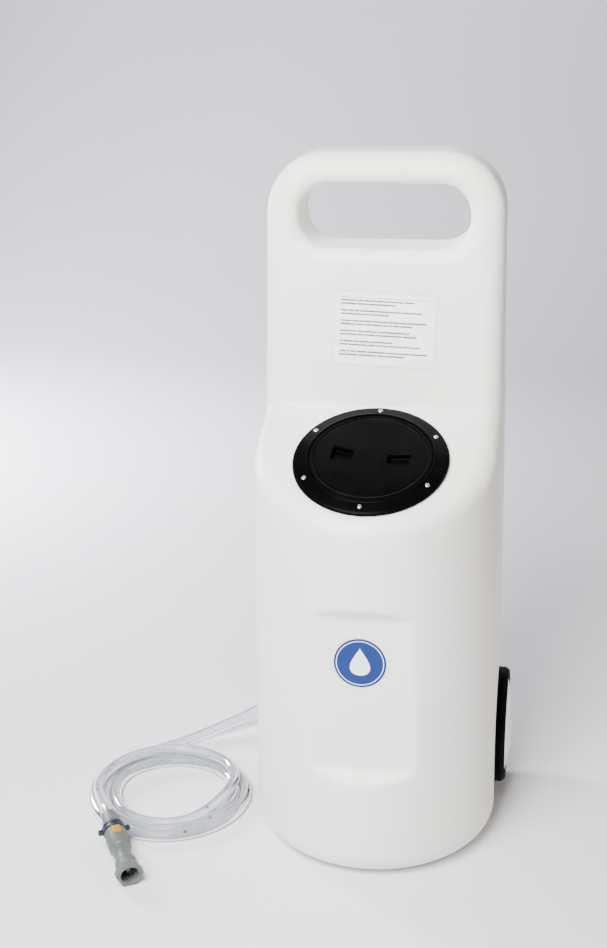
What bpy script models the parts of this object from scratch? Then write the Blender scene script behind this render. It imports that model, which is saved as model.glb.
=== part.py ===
"""Watering cart: a hollow plastic tank with a grab handle moulded into its back rest, two wheels on a
through axle, a screwed filler plate on the sloped shoulder, a battery pump in a rear bay, and a clear
hose with a quick coupling that lies coiled on the floor. Metres, +Z up, the front faces -Y."""
import bmesh
import bpy
from math import atan, atan2, cos, pi, radians, sin, tan
from mathutils import Matrix, Vector

# Gaps and facets
GAP = 0.0003
ROUND_STEPS = 36
SMALL_STEPS = 16

# Tank: a D in plan, half round in front, flat behind
WALL = 0.005
BODY_RADIUS = 0.167
RADIUS_HEIGHT = 0.300
DRAFT = 0.0125
BODY_DEPTH = 0.170
BACK_CORNER = 0.031
BASE_FILLET = 0.037
FRONT_STEPS = 12

# Sloped shoulder that carries the filler plate
SHOULDER_TILT = radians(24.1)
FILLER_FORWARD = 0.052
FILLER_HEIGHT = 0.5588
RIM_FILLET = 0.0285
RIM_RADIUS_HEIGHT = 0.540

# Back rest with the handle opening
REST_FORWARD = 0.045
REST_TOP = 0.942
REST_BOTTOM = 0.430
REST_CORNER = 0.080
REST_EDGE = 0.027
REST_INSET = 0.0004
REST_LEAN = 0.090
REST_LEAN_FROM = 0.600
HANDLE_HALF_WIDTH = BODY_RADIUS - 0.052
HANDLE_BOTTOM = 0.8155
HANDLE_TOP = 0.9003
HANDLE_CORNER = 0.040
HANDLE_LIP = 0.018

# Flat panel pressed into the front
PANEL_FORWARD = BODY_RADIUS - 0.016
PANEL_HALF_TOP = 0.0725
PANEL_HALF_BOTTOM = 0.0705
PANEL_BOTTOM = 0.1606
PANEL_TOP = 0.381
PANEL_CORNER = 0.010
PANEL_LEDGE = 0.030

# Wheels, axle and the wells they stand in
WHEEL_RADIUS = 0.085
WHEEL_WIDTH = 0.038
WHEEL_CENTRE_X = BODY_RADIUS - 0.004
AXLE_BACKWARD = 0.1225
AXLE_HEIGHT = 0.094
AXLE_RADIUS = 0.00635
AXLE_END_IN_HUB = 0.0185
TONGUE_HALF_WIDTH = BODY_RADIUS - 0.027
WELL_CLEARANCE = 0.010
WELL_FLARE = 0.028
WELL_RISE = 0.036
RIM_OUTER_RADIUS = 0.068
HUB_RADIUS = 0.016
HUB_OUTER_END = 0.014
PUSH_NUT_RADIUS = 0.011
PUSH_NUT_THICKNESS = 0.003
CAP_DOME = 0.0253

# Filler plate, measured along the shoulder's normal
PLATE_RADIUS = 0.103
FILLER_HOLE_RADIUS = 0.0825
FILLER_GASKET = 0.0015
FLANGE_EDGE = 0.0040
PLATE_HEIGHT = 0.0105
LID_RADIUS = 0.0820
SEAT_RADIUS = 0.0780
SEAT_HEIGHT = 0.0045
NECK_WALL = 0.0025
NECK_DEPTH = 0.026
LID_THICKNESS = 0.0040
LID_SKIRT_DEPTH = 0.020
LID_SKIRT_WALL = 0.004
LID_TURN = radians(-6.5)
SEAL_WIRE = 0.0011
SCREW_CIRCLE = 0.0925
FILLER_SCREWS = 6
SCREWS_TURN = radians(-1.4)
FILLER_SCREW_LENGTH = 0.016
POCKET_REACH = 0.0376
POCKET_LENGTH = 0.029
POCKET_INNER_WIDTH = 0.015
POCKET_OUTER_WIDTH = 0.027
POCKET_DEPTH = 0.0085
POCKET_WALL = 0.002

# Pan head screws
SCREW_HEAD_RADIUS = 0.0035
SCREW_HEAD_HEIGHT = 0.0026
SCREW_SHANK_RADIUS = 0.0018

# Labels
LABEL_WIDTH = 0.140
LABEL_HEIGHT = 0.102
LABEL_THICKNESS = 0.0004
LABEL_X = 0.004
LABEL_Z = 0.7105
LABEL_TURN = radians(2.0)
BADGE_RADIUS = 0.0345
BADGE_X = -0.0008
BADGE_Z = PANEL_TOP - 0.065

# Rear bay and its cover
BAY_HALF_WIDTH = 0.112
BAY_BOTTOM = 0.128
BAY_TOP = 0.428
BAY_DEPTH = 0.094
BAY_CORNER = 0.016
BAY_FRONT_WALL = 0.012
BAY_FRAME = 0.020
BAY_FRAME_DEPTH = 0.016
COVER_FLANGE = 0.015
COVER_CORNER = 0.022
COVER_WALL = 0.003
COVER_RISE = 0.0145
COVER_EDGE = 0.005
COVER_GASKET = 0.0012
COVER_SCREW_LENGTH = 0.012
COVER_SCREW_INSET = 0.030

# Rocker switch in the cover
SWITCH_X = 0.045
SWITCH_Z = BAY_TOP - 0.036
SWITCH_WIDTH = 0.0300
SWITCH_HEIGHT = 0.0220
SWITCH_BEZEL = 0.0018
SWITCH_BEZEL_THICKNESS = 0.0022
SWITCH_DEPTH = 0.024
SWITCH_WALL = 0.0016
ROCKER_REST_TILT = radians(-9.0)
ROCKER_PIVOT_DEPTH = 0.0020

# Charging socket in the cover
SOCKET_X = -0.040
SOCKET_Z = BAY_TOP - 0.036
SOCKET_RADIUS = 0.0080
SOCKET_FLANGE_RADIUS = 0.0125
SOCKET_FLANGE_THICKNESS = 0.0030
SOCKET_DEPTH = 0.018
SOCKET_BORE = 0.0042
SOCKET_PIN = 0.0011
SOCKET_NUT_RADIUS = 0.0120
SOCKET_NUT_THICKNESS = 0.004
CAP_THICKNESS = 0.0026
CAP_PIN_RADIUS = 0.0012
CAP_EAR_X = 0.0045
CAP_EAR_WIDTH = 0.0020

# Battery and its holding bar
BATTERY_WIDTH = 0.151
BATTERY_DEPTH = 0.065
BATTERY_HEIGHT = 0.094
TERMINAL_X = 0.060
TERMINAL_Y_FROM_FRONT = 0.014
TERMINAL_HEIGHT = 0.006
BAR_HEIGHT = 0.018
BAR_THICKNESS = 0.002
BAR_FOOT = 0.018
BAR_ABOVE_FLOOR = 0.050
BAR_SCREW_LENGTH = 0.010

# Pump on the bay's front wall
PUMP_X = -0.055
PUMP_Z = 0.312
PUMP_STANDOFF = 0.034
PUMP_HEAD_WIDTH = 0.052
PUMP_HEAD_SIZE = 0.056
MOTOR_RADIUS = 0.026
MOTOR_LENGTH = 0.082
PORT_RADIUS = 0.0080
PORT_LENGTH = 0.012
PUMP_PLATE_THICKNESS = 0.0020
PUMP_PLATE_HEIGHT = 0.078
PUMP_PLATE_EDGE = 0.008
PUMP_SCREW_LENGTH = 0.010
PRESSURE_SWITCH_SIZE = (0.014, 0.028, 0.024)

# Hoses
HOSE_RADIUS = 0.008
INNER_HOSE_RADIUS = 0.0065
INNER_HOSE_BENDS = ((0, 0, 0.008), (-0.002, 0, 0.018), (-0.014, 0.002, 0.031), (-0.034, 0.007, 0.026),
                    (-0.0475, 0.013, -0.0143), (-0.0480, 0.018, -0.0703), (-0.0445, 0.022, -0.1243),
                    (-0.0390, 0.029, -0.1663))
CABLE_RADIUS = 0.002
SUPPLY_CABLE_BENDS = ((0.004, 0, 0.014), (0.032, 0.006, 0.0334), (0.039, 0.010, 0.0814),
                      (0.028, 0.032, 0.1374))
PUMP_CABLE_BENDS = ((0, -0.004, 0), (0.002, -0.014, -0.003), (0.029, -0.0337, -0.042))
MOTOR_END_BENDS = ((0.015, 0.006, 0.010), (0.006, 0, 0.001), (0.003, 0, 0))
DIP_TUBE_RADIUS = 0.0065
DIP_TUBE_END = 0.040
STRAINER_RADIUS = 0.013
STRAINER_HEIGHT = 0.028

# Outlet elbow through the cover
OUTLET_X = -0.090
OUTLET_Z = 0.156
OUTLET_SHANK = 0.0080
OUTLET_FLANGE = 0.0135
OUTLET_FLANGE_THICKNESS = 0.004
OUTLET_NUT_RADIUS = 0.0135
OUTLET_NUT_THICKNESS = 0.005
OUTLET_DIRECTION = Vector((-0.78, 0.36, -0.51)).normalized()
OUTLET_STANDOFF = 0.016
OUTLET_REACH = 0.028
CLAMP_WIDTH = 0.009
CLAMP_THICKNESS = 0.0011

# Coil of hose on the floor
COIL_X = -0.308
COIL_Y = -0.0286
COIL_OUTER = 0.120
COIL_INNER = 0.072
COIL_HEIGHT = 0.0162
COIL_EDGE = 0.006
LEAD_END = radians(125)
TAIL_RADIUS = 0.1053
TAIL_START = radians(158)

# Quick coupling at the hose's end
COUPLING_START = Vector((-0.3694, -0.1376, 0.0345))
COUPLING_END = Vector((-0.3028, -0.2536, 0.0175))
FERRULE_LENGTH = 0.030
FERRULE_RADIUS = 0.0125
FERRULE_TIP_RADIUS = 0.0097
CLAMP_RING_LENGTH = 0.013
CLAMP_RING_RADIUS = 0.0165
CLAMP_TAB = 0.006
NECK_RADIUS = 0.0122
BARREL_RADIUS = 0.0155
BARREL_END = 0.078
WAIST_RADIUS = 0.0118
WAIST_START = 0.090
SLEEVE_RADIUS = 0.0152
HEX_LENGTH = 0.0133
HEX_RADIUS = 0.0195
SOCKET_MOUTH_RADIUS = 0.0125
SOCKET_MOUTH_DEPTH = 0.024
VALVE_NOSE_RADIUS = 0.0046
BUTTON_LENGTH = 0.014
BUTTON_WIDTH = 0.012
BUTTON_TOP = 0.0180
BUTTON_BOTTOM = 0.0100
BUTTON_TRAVEL = 0.0025

# Worked out from the sizes above; the origin is under the middle of the cart's box
PLAN_RADIUS = BODY_RADIUS + DRAFT * (RADIUS_HEIGHT - BASE_FILLET)
WHEEL_REACH = AXLE_BACKWARD + WHEEL_RADIUS
AXIS_Y = (PLAN_RADIUS - WHEEL_REACH) / 2
BACK_Y = AXIS_Y + BODY_DEPTH
REST_Y = AXIS_Y + REST_FORWARD
AXLE_Y = AXIS_Y + AXLE_BACKWARD
PANEL_Y = AXIS_Y - PANEL_FORWARD
BAY_Y = BACK_Y - BAY_DEPTH
BAY_CENTRE_Z = (BAY_BOTTOM + BAY_TOP) / 2
BAY_HALF_HEIGHT = (BAY_TOP - BAY_BOTTOM) / 2
COVER_Y = BACK_Y + COVER_GASKET + 2 * GAP
COVER_FACE_Y = COVER_Y + COVER_RISE
COVER_INNER_Y = COVER_FACE_Y - COVER_WALL
BATTERY_Z = BAY_BOTTOM + GAP
BATTERY_Y = BAY_Y + GAP + BATTERY_DEPTH / 2
PUMP_Y = BAY_Y + PUMP_STANDOFF
COUPLING_AXIS = (COUPLING_END - COUPLING_START).normalized()
COUPLING_LENGTH = (COUPLING_END - COUPLING_START).length


def half_width(height):
    """Half width of the tank at a height: its sides lean in by the mould's draft."""
    return BODY_RADIUS - DRAFT * (height - RADIUS_HEIGHT)


def shoulder_height(y):
    """Height of the sloped shoulder at a distance along Y."""
    return FILLER_HEIGHT + (y - AXIS_Y + FILLER_FORWARD) * tan(SHOULDER_TILT)


def lean_back(y, z):
    """Where a point of the back rest lies: the front leans back with height, the back stays upright."""
    back = BACK_Y - REST_INSET
    share = (back - y) / (back - REST_Y)
    return y + REST_LEAN * (z - REST_LEAN_FROM) * share


def clear_scene():
    for item in list(bpy.data.objects):
        bpy.data.objects.remove(item, do_unlink=True)


def make_collection(name):
    group = bpy.data.collections.new(name)
    bpy.context.scene.collection.children.link(group)
    return group


clear_scene()
PARTS = make_collection("watering_cart")
CUTTERS = make_collection("watering_cart_cutters")


def make_material(name, color, roughness, metallic=0.0, alpha=1.0):
    material = bpy.data.materials.new(name)
    material.use_nodes = True
    shader = material.node_tree.nodes["Principled BSDF"]
    shader.inputs["Base Color"].default_value = (*color, 1.0)
    shader.inputs["Roughness"].default_value = roughness
    shader.inputs["Metallic"].default_value = metallic
    shader.inputs["Alpha"].default_value = alpha
    return material


def add_part(name, mesh, color, roughness, metallic=0.0, matrix=None, parent=None, alpha=1.0):
    """Put a mesh in the cart's collection as one named sub-part with its own material."""
    part = bpy.data.objects.new(name, mesh)
    PARTS.objects.link(part)
    mesh.materials.clear()
    mesh.materials.append(make_material(name, color, roughness, metallic, alpha))
    part.parent = parent
    if matrix is not None:
        part.matrix_local = matrix
    return part


def add_cutter(name, mesh, matrix=None):
    cutter = bpy.data.objects.new(name, mesh)
    CUTTERS.objects.link(cutter)
    cutter.hide_render = True
    cutter.display_type = "WIRE"
    if matrix is not None:
        cutter.matrix_local = matrix
    return cutter


def add_empty(name, location, rotation=(0, 0, 0)):
    """The frame on a joint's axis that a moving piece is parented to."""
    empty = bpy.data.objects.new(name, None)
    PARTS.objects.link(empty)
    empty.location = location
    empty.rotation_euler = rotation
    empty.empty_display_size = 0.02
    return empty


def boolean(part, cutter, operation="DIFFERENCE"):
    modifier = part.modifiers.new(cutter.name, "BOOLEAN")
    modifier.operation = operation
    modifier.solver = "EXACT"
    modifier.object = cutter


def finish_mesh(name, work, smooth=True, sharp=40):
    """Turn a bmesh into a mesh with its faces pointing out and its round faces shaded smooth."""
    bmesh.ops.recalc_face_normals(work, faces=work.faces)
    mesh = bpy.data.meshes.new(name)
    work.to_mesh(mesh)
    work.free()
    if smooth:
        mesh.shade_smooth()
        mesh.set_sharp_from_angle(angle=radians(sharp))
    return mesh


def loft(name, rings, sharp=40):
    """Skin a row of closed rings that all have as many points, with a flat cap at each end."""
    work = bmesh.new()
    rows = [[work.verts.new(point) for point in ring] for ring in rings]
    count = len(rows[0])
    for lower, upper in zip(rows, rows[1:]):
        for i in range(count):
            k = (i + 1) % count
            work.faces.new((lower[i], lower[k], upper[k], upper[i]))
    work.faces.new(list(reversed(rows[0])))
    work.faces.new(rows[-1])
    return finish_mesh(name, work, sharp=sharp)


def box_mesh(name, size, centre=(0, 0, 0), bevel=0.0):
    work = bmesh.new()
    bmesh.ops.create_cube(work, size=1.0)
    bmesh.ops.scale(work, vec=size, verts=work.verts)
    bmesh.ops.translate(work, vec=centre, verts=work.verts)
    if bevel > 0:
        bmesh.ops.bevel(work, geom=list(work.edges), offset=bevel, segments=2, profile=0.5, affect="EDGES")
    return finish_mesh(name, work, sharp=50)


def cylinder_mesh(name, radius, low, high, steps=SMALL_STEPS, centres=((0, 0),)):
    """One or more upright cylinders between two heights, in one mesh."""
    work = bmesh.new()
    for x, y in centres:
        place = Matrix.Translation((x, y, (low + high) / 2))
        bmesh.ops.create_cone(work, cap_ends=True, segments=steps, radius1=radius, radius2=radius,
                              depth=high - low, matrix=place)
    return finish_mesh(name, work)


def turned_mesh(name, profile, steps=ROUND_STEPS):
    """Turn a profile of (radius, height) pairs about Z. It runs down the outer side, and a profile
    that starts on the axis ends there too; any other profile is closed into a ring."""
    mesh = bpy.data.meshes.new(name)
    edges = [(i, i + 1) for i in range(len(profile) - 1)]
    if profile[0][0] > 0:
        edges.append((len(profile) - 1, 0))
    mesh.from_pydata([(radius, 0, height) for radius, height in profile], edges, [])
    holder = bpy.data.objects.new(name + "_profile", mesh)
    CUTTERS.objects.link(holder)
    screw = holder.modifiers.new("turn", "SCREW")
    screw.steps = steps
    screw.render_steps = steps
    screw.use_merge_vertices = True
    screw.merge_threshold = 0.00001
    graph = bpy.context.evaluated_depsgraph_get()
    solid = bpy.data.meshes.new_from_object(holder.evaluated_get(graph))
    bpy.data.objects.remove(holder)
    solid.name = name
    work = bmesh.new()
    work.from_mesh(solid)
    bmesh.ops.remove_doubles(work, verts=work.verts, dist=0.00001)
    work.to_mesh(solid)
    work.free()
    solid.shade_smooth()
    solid.set_sharp_from_angle(angle=radians(35))
    return solid


def smooth_route(points, count):
    """Points spaced evenly on a smooth curve through the given points."""
    ends = [points[0] * 2 - points[1]] + list(points) + [points[-1] * 2 - points[-2]]
    fine = []
    for i in range(1, len(ends) - 2):
        a, b, c, d = ends[i - 1:i + 3]
        for k in range(24):
            t = k / 24
            fine.append(0.5 * (2 * b + (c - a) * t + (2 * a - 5 * b + 4 * c - d) * t * t
                               + (3 * b - a - 3 * c + d) * t ** 3))
    fine.append(points[-1].copy())
    lengths = [0.0]
    for p, q in zip(fine, fine[1:]):
        lengths.append(lengths[-1] + (q - p).length)
    result = []
    k = 0
    for i in range(count):
        target = lengths[-1] * i / (count - 1)
        while k < len(fine) - 2 and lengths[k + 1] < target:
            k += 1
        span = lengths[k + 1] - lengths[k]
        result.append(fine[k].lerp(fine[k + 1], (target - lengths[k]) / span))
    return result


def add_tube(name, points, radius, color, roughness, metallic=0.0, resolution=2, radii=None):
    """A round bar or hose along a polyline, its thickness scaled at each point by radii."""
    curve = bpy.data.curves.new(name, "CURVE")
    curve.dimensions = "3D"
    curve.bevel_depth = radius
    curve.bevel_resolution = resolution
    curve.use_fill_caps = True
    spline = curve.splines.new("POLY")
    spline.points.add(len(points) - 1)
    for i, point in enumerate(points):
        spline.points[i].co = (*point, 1.0)
        spline.points[i].radius = radii[i] if radii else 1.0
    tube = bpy.data.objects.new(name, curve)
    PARTS.objects.link(tube)
    curve.materials.append(make_material(name, color, roughness, metallic))
    return tube


def frame_along(origin, direction, up=Vector((0, 0, 1))):
    """A frame whose Z runs along a direction and whose Y leans as far up as it can."""
    z = direction.normalized()
    x = up.cross(z).normalized()
    y = z.cross(x)
    matrix = Matrix((x, y, z)).transposed().to_4x4()
    matrix.translation = origin
    return matrix


def rounded_rectangle(half_x, half_z, corner, steps=4):
    """Points of a rectangle with round corners, about the origin, turning from +X to +Z."""
    points = []
    for quarter in range(4):
        start = quarter * pi / 2
        cx = (half_x - corner) * (1 if quarter in (0, 3) else -1)
        cz = (half_z - corner) * (1 if quarter in (0, 1) else -1)
        for k in range(steps + 1):
            angle = start + k * pi / 2 / steps
            points.append((cx + corner * cos(angle), cz + corner * sin(angle)))
    return points


def quarter_round(radius, steps):
    """(run, rise) pairs of a quarter circle, from flat against a face to square with it."""
    pairs = []
    for k in range(steps + 1):
        angle = k * pi / 2 / steps
        pairs.append((radius * (1 - cos(angle)), radius * (1 - sin(angle))))
    return pairs


def body_plan(radius, depth, corner):
    """The D of the tank in plan as points with their outward normals, from the front centre round."""
    right = []
    for k in range(FRONT_STEPS + 1):
        angle = k * pi / 2 / FRONT_STEPS
        right.append((radius * sin(angle), -radius * cos(angle), sin(angle), -cos(angle)))
    for k in range(5):
        angle = k * pi / 8
        right.append((radius - corner + corner * cos(angle), depth - corner + corner * sin(angle),
                      cos(angle), sin(angle)))
    left = [(-x, y, -nx, ny) for x, y, nx, ny in reversed(right[1:])]
    return right + left


def body_mesh(name, inset):
    """The tank's lower body up to its sloped shoulder, shrunk on every side by inset."""
    slope = Vector((0, -sin(SHOULDER_TILT), cos(SHOULDER_TILT)))
    fillet = BASE_FILLET - inset
    rim = RIM_FILLET - inset
    corner = BACK_CORNER - inset
    depth = BODY_DEPTH - inset
    rings = []
    for run, rise in reversed(quarter_round(fillet, 4)):
        plan = body_plan(half_width(BASE_FILLET) - inset - run, depth - run, max(corner - run, 0.002))
        rings.append([(x, AXIS_Y + y, inset + rise) for x, y, nx, ny in plan])
    plan = body_plan(half_width(RIM_RADIUS_HEIGHT) - inset, depth, corner)
    for step in range(6):
        turn = step / 5
        ring = []
        for x, y, nx, ny in plan:
            side = Vector((nx, ny, 0))
            spine = Vector((x, AXIS_Y + y, 0)) - side * rim
            spine.z = shoulder_height(spine.y) - (inset + rim) / cos(SHOULDER_TILT)
            ring.append(spine + side.slerp(slope, turn) * rim)
        rings.append(ring)
    return loft(name, rings, sharp=25)


def rest_mesh(name, inset):
    """The back rest, from inside the body to its round top, shrunk on every side by inset."""
    edge = REST_EDGE - inset
    front = REST_Y + inset
    back = BACK_Y - REST_INSET - inset
    top = REST_TOP - inset
    corner = REST_CORNER - inset
    sections = [(front + run, rise) for run, rise in quarter_round(edge, 4)]
    sections += [(back - run, rise) for run, rise in reversed(quarter_round(edge, 4))]
    rings = []
    for y, pull in sections:
        side = REST_INSET + inset + pull
        radius = corner - pull
        high = top - pull
        right = [(half_width(REST_BOTTOM) - side, REST_BOTTOM)]
        for k in range(7):
            angle = k * pi / 12
            reach = half_width(high - radius) - side - radius
            right.append((reach + radius * cos(angle), high - radius + radius * sin(angle)))
        left = [(-x, z) for x, z in reversed(right)]
        rings.append([(x, lean_back(y, z), z) for x, z in right + left])
    return loft(name, rings, sharp=25)


def handle_mesh(name, wall):
    """The space of the handle opening with its rolled lips, grown by a wall."""
    half_height = (HANDLE_TOP - HANDLE_BOTTOM) / 2
    centre = (HANDLE_TOP + HANDLE_BOTTOM) / 2
    front = REST_Y
    back = BACK_Y - REST_INSET
    flares = [(wall + run, wall + rise) for run, rise in quarter_round(HANDLE_LIP - wall, 4)]
    sections = [(front - 0.01, HANDLE_LIP)] + [(front + d, f) for d, f in flares]
    sections += [(back - d, f) for d, f in reversed(flares)] + [(back + 0.01, HANDLE_LIP)]
    rings = []
    for y, flare in sections:
        outline = rounded_rectangle(HANDLE_HALF_WIDTH + flare, half_height + flare, HANDLE_CORNER + flare)
        rings.append([(x, lean_back(y, centre + z), centre + z) for x, z in outline])
    return loft(name, rings)


def well_mesh(name, side, wall):
    """The space of one wheel well, with a rolled edge where it meets the tank's side, grown by a wall."""
    outer = half_width(0) - GAP
    roll = WELL_FLARE - wall
    steep = (WELL_RISE - wall) / roll
    sections = [(TONGUE_HALF_WIDTH - wall, wall)]
    sections += [(outer - wall - run, wall + rise * steep) for run, rise in reversed(quarter_round(roll, 4))]
    sections.append((outer + 0.02, WELL_RISE))
    rings = []
    for x, flare in sections:
        radius = WHEEL_RADIUS + WELL_CLEARANCE + flare
        outline = [(AXLE_Y - radius, -0.02)]
        for k in range(9):
            angle = pi - k * pi / 16
            outline.append((AXLE_Y + radius * cos(angle), AXLE_HEIGHT + radius * sin(angle)))
        outline += [(BACK_Y + 0.05, AXLE_HEIGHT + radius), (BACK_Y + 0.05, -0.02)]
        rings.append([(side * x, y, z) for y, z in outline])
    return loft(name, rings)


def bay_rings(sections):
    rings = []
    for y, grow in sections:
        outline = rounded_rectangle(BAY_HALF_WIDTH + grow, BAY_HALF_HEIGHT + grow, BAY_CORNER + grow)
        rings.append([(x, y, BAY_CENTRE_Z + z) for x, z in outline])
    return rings


def panel_mesh(name, wall):
    """The space in front of the flat panel, with ledges that slope out at its top and bottom."""
    centre = (PANEL_TOP + PANEL_BOTTOM) / 2
    half = (PANEL_TOP - PANEL_BOTTOM) / 2
    rings = []
    for forward, grow in ((0, 0), (PANEL_LEDGE, PANEL_LEDGE)):
        ring = []
        for x, z in rounded_rectangle(1.0, half + wall, PANEL_CORNER + wall, 3):
            share = (z + half) / (2 * half)
            width = PANEL_HALF_BOTTOM + (PANEL_HALF_TOP - PANEL_HALF_BOTTOM) * share + wall
            reach = x - (1.0 if x > 0 else -1.0)
            lift = grow if z > 0 else -grow
            ring.append(((width + reach) if x > 0 else (reach - width), PANEL_Y + wall - forward,
                         centre + z + lift))
        rings.append(ring)
    return loft(name, rings)


def filler_matrix():
    """The filler plate's frame: its origin on the shoulder, its Z along the shoulder's normal."""
    place = Matrix.Translation((0, AXIS_Y - FILLER_FORWARD, FILLER_HEIGHT))
    return place @ Matrix.Rotation(SHOULDER_TILT, 4, "X")


def circle_centres(radius, count, start=pi / 2):
    return [(radius * cos(start + 2 * pi * k / count), radius * sin(start + 2 * pi * k / count))
            for k in range(count)]


def cover_screw_places():
    """Centres of the cover's screws, as (x, z) on the back of the tank."""
    reach = BAY_HALF_WIDTH + COVER_FLANGE / 2
    rise = BAY_HALF_HEIGHT - COVER_SCREW_INSET
    return [(side * reach, BAY_CENTRE_Z + row * rise) for side in (-1, 1) for row in (-1, 1)]


def along_y(y=0.0):
    """Turns a frame so that its Z points to the back of the cart and its Y points down."""
    return Matrix.Translation((0, y, 0)) @ Matrix.Rotation(-pi / 2, 4, "X")


def add_screws(name, places, length, matrix, seat=0.0):
    """Equal pan head screws, heads above the seat and shanks below it. They share one mesh."""
    head = [(0, SCREW_HEAD_HEIGHT), (SCREW_HEAD_RADIUS * 0.7, SCREW_HEAD_HEIGHT * 0.85),
            (SCREW_HEAD_RADIUS, 0), (SCREW_SHANK_RADIUS, 0), (SCREW_SHANK_RADIUS, -length), (0, -length)]
    mesh = turned_mesh(name, head, 9)
    for number, (x, y) in enumerate(places, 1):
        place = matrix @ Matrix.Translation((x, y, seat))
        add_part(f"{name}_{number}", mesh, (0.62, 0.62, 0.63), 0.28, 1.0, place)


def make_tank():
    """The one-piece moulded tank: outer form less its inside, bay, wells, openings and holes."""
    tank = add_part("tank_shell", body_mesh("tank_shell", 0.0), (0.86, 0.85, 0.80), 0.38)
    boolean(tank, add_cutter("rest_outer", rest_mesh("rest_outer", 0.0)), "UNION")

    hollow = add_cutter("tank_hollow", body_mesh("tank_hollow", WALL))
    boolean(hollow, add_cutter("rest_inner", rest_mesh("rest_inner", WALL)), "UNION")
    boolean(hollow, add_cutter("handle_wall", handle_mesh("handle_wall", WALL)))
    boolean(hollow, add_cutter("panel_wall", panel_mesh("panel_wall", WALL)))
    bay_wall = bay_rings([(BAY_Y - BAY_FRONT_WALL, WALL), (BACK_Y - BAY_FRAME_DEPTH, WALL),
                          (BACK_Y - BAY_FRAME_DEPTH + GAP, BAY_FRAME), (BACK_Y + 0.01, BAY_FRAME)])
    boolean(hollow, add_cutter("bay_wall", loft("bay_wall", bay_wall)))
    for side, word in ((-1, "left"), (1, "right")):
        boolean(hollow, add_cutter(word + "_well_wall", well_mesh(word + "_well_wall", side, WALL)))
    axle_turn = Matrix.Translation((0, AXLE_Y, AXLE_HEIGHT)) @ Matrix.Rotation(pi / 2, 4, "Y")
    sleeve = cylinder_mesh("axle_sleeve", AXLE_RADIUS + GAP + WALL, -BODY_RADIUS, BODY_RADIUS, 20)
    boolean(hollow, add_cutter("axle_sleeve", sleeve, axle_turn))

    boolean(tank, hollow)
    boolean(tank, add_cutter("handle_opening", handle_mesh("handle_opening", 0.0)))
    boolean(tank, add_cutter("panel_recess", panel_mesh("panel_recess", 0.0)))
    boolean(tank, add_cutter("bay", loft("bay", bay_rings([(BAY_Y, 0), (BACK_Y + 0.02, 0)]))))
    for side, word in ((-1, "left"), (1, "right")):
        boolean(tank, add_cutter(word + "_well", well_mesh(word + "_well", side, 0.0)))
    bore = cylinder_mesh("axle_bore", AXLE_RADIUS + GAP, -2 * BODY_RADIUS, 2 * BODY_RADIUS, 20)
    boolean(tank, add_cutter("axle_bore", bore, axle_turn))

    mouth = cylinder_mesh("filler_hole", FILLER_HOLE_RADIUS, -0.04, 0.04, ROUND_STEPS)
    boolean(tank, add_cutter("filler_hole", mouth, filler_matrix()))
    pilot = cylinder_mesh("filler_screw_holes", SCREW_SHANK_RADIUS + GAP, -0.03, 0.01, 8,
                          circle_centres(SCREW_CIRCLE, FILLER_SCREWS, pi / 2 + SCREWS_TURN))
    boolean(tank, add_cutter("filler_screw_holes", pilot, filler_matrix()))

    # Blind holes in the thick frame round the bay and in the bay's front wall
    places = [(x, -z) for x, z in cover_screw_places()]
    pilot = cylinder_mesh("cover_screw_holes", SCREW_SHANK_RADIUS + GAP, -COVER_SCREW_LENGTH - GAP, 0.01, 8,
                          places)
    boolean(tank, add_cutter("cover_screw_holes", pilot, along_y(BACK_Y)))
    places = [(x, -z) for x, z in pump_screw_places() + bar_screw_places()]
    pilot = cylinder_mesh("bay_screw_holes", SCREW_SHANK_RADIUS + GAP, -0.009, 0.004, 8, places)
    boolean(tank, add_cutter("bay_screw_holes", pilot, along_y(BAY_Y)))
    suction = cylinder_mesh("suction_hole", PORT_RADIUS + GAP, -0.03, 0.01, SMALL_STEPS,
                            [(PUMP_X, -suction_height())])
    boolean(tank, add_cutter("suction_hole", suction, along_y(BAY_Y)))
    return tank


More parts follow.
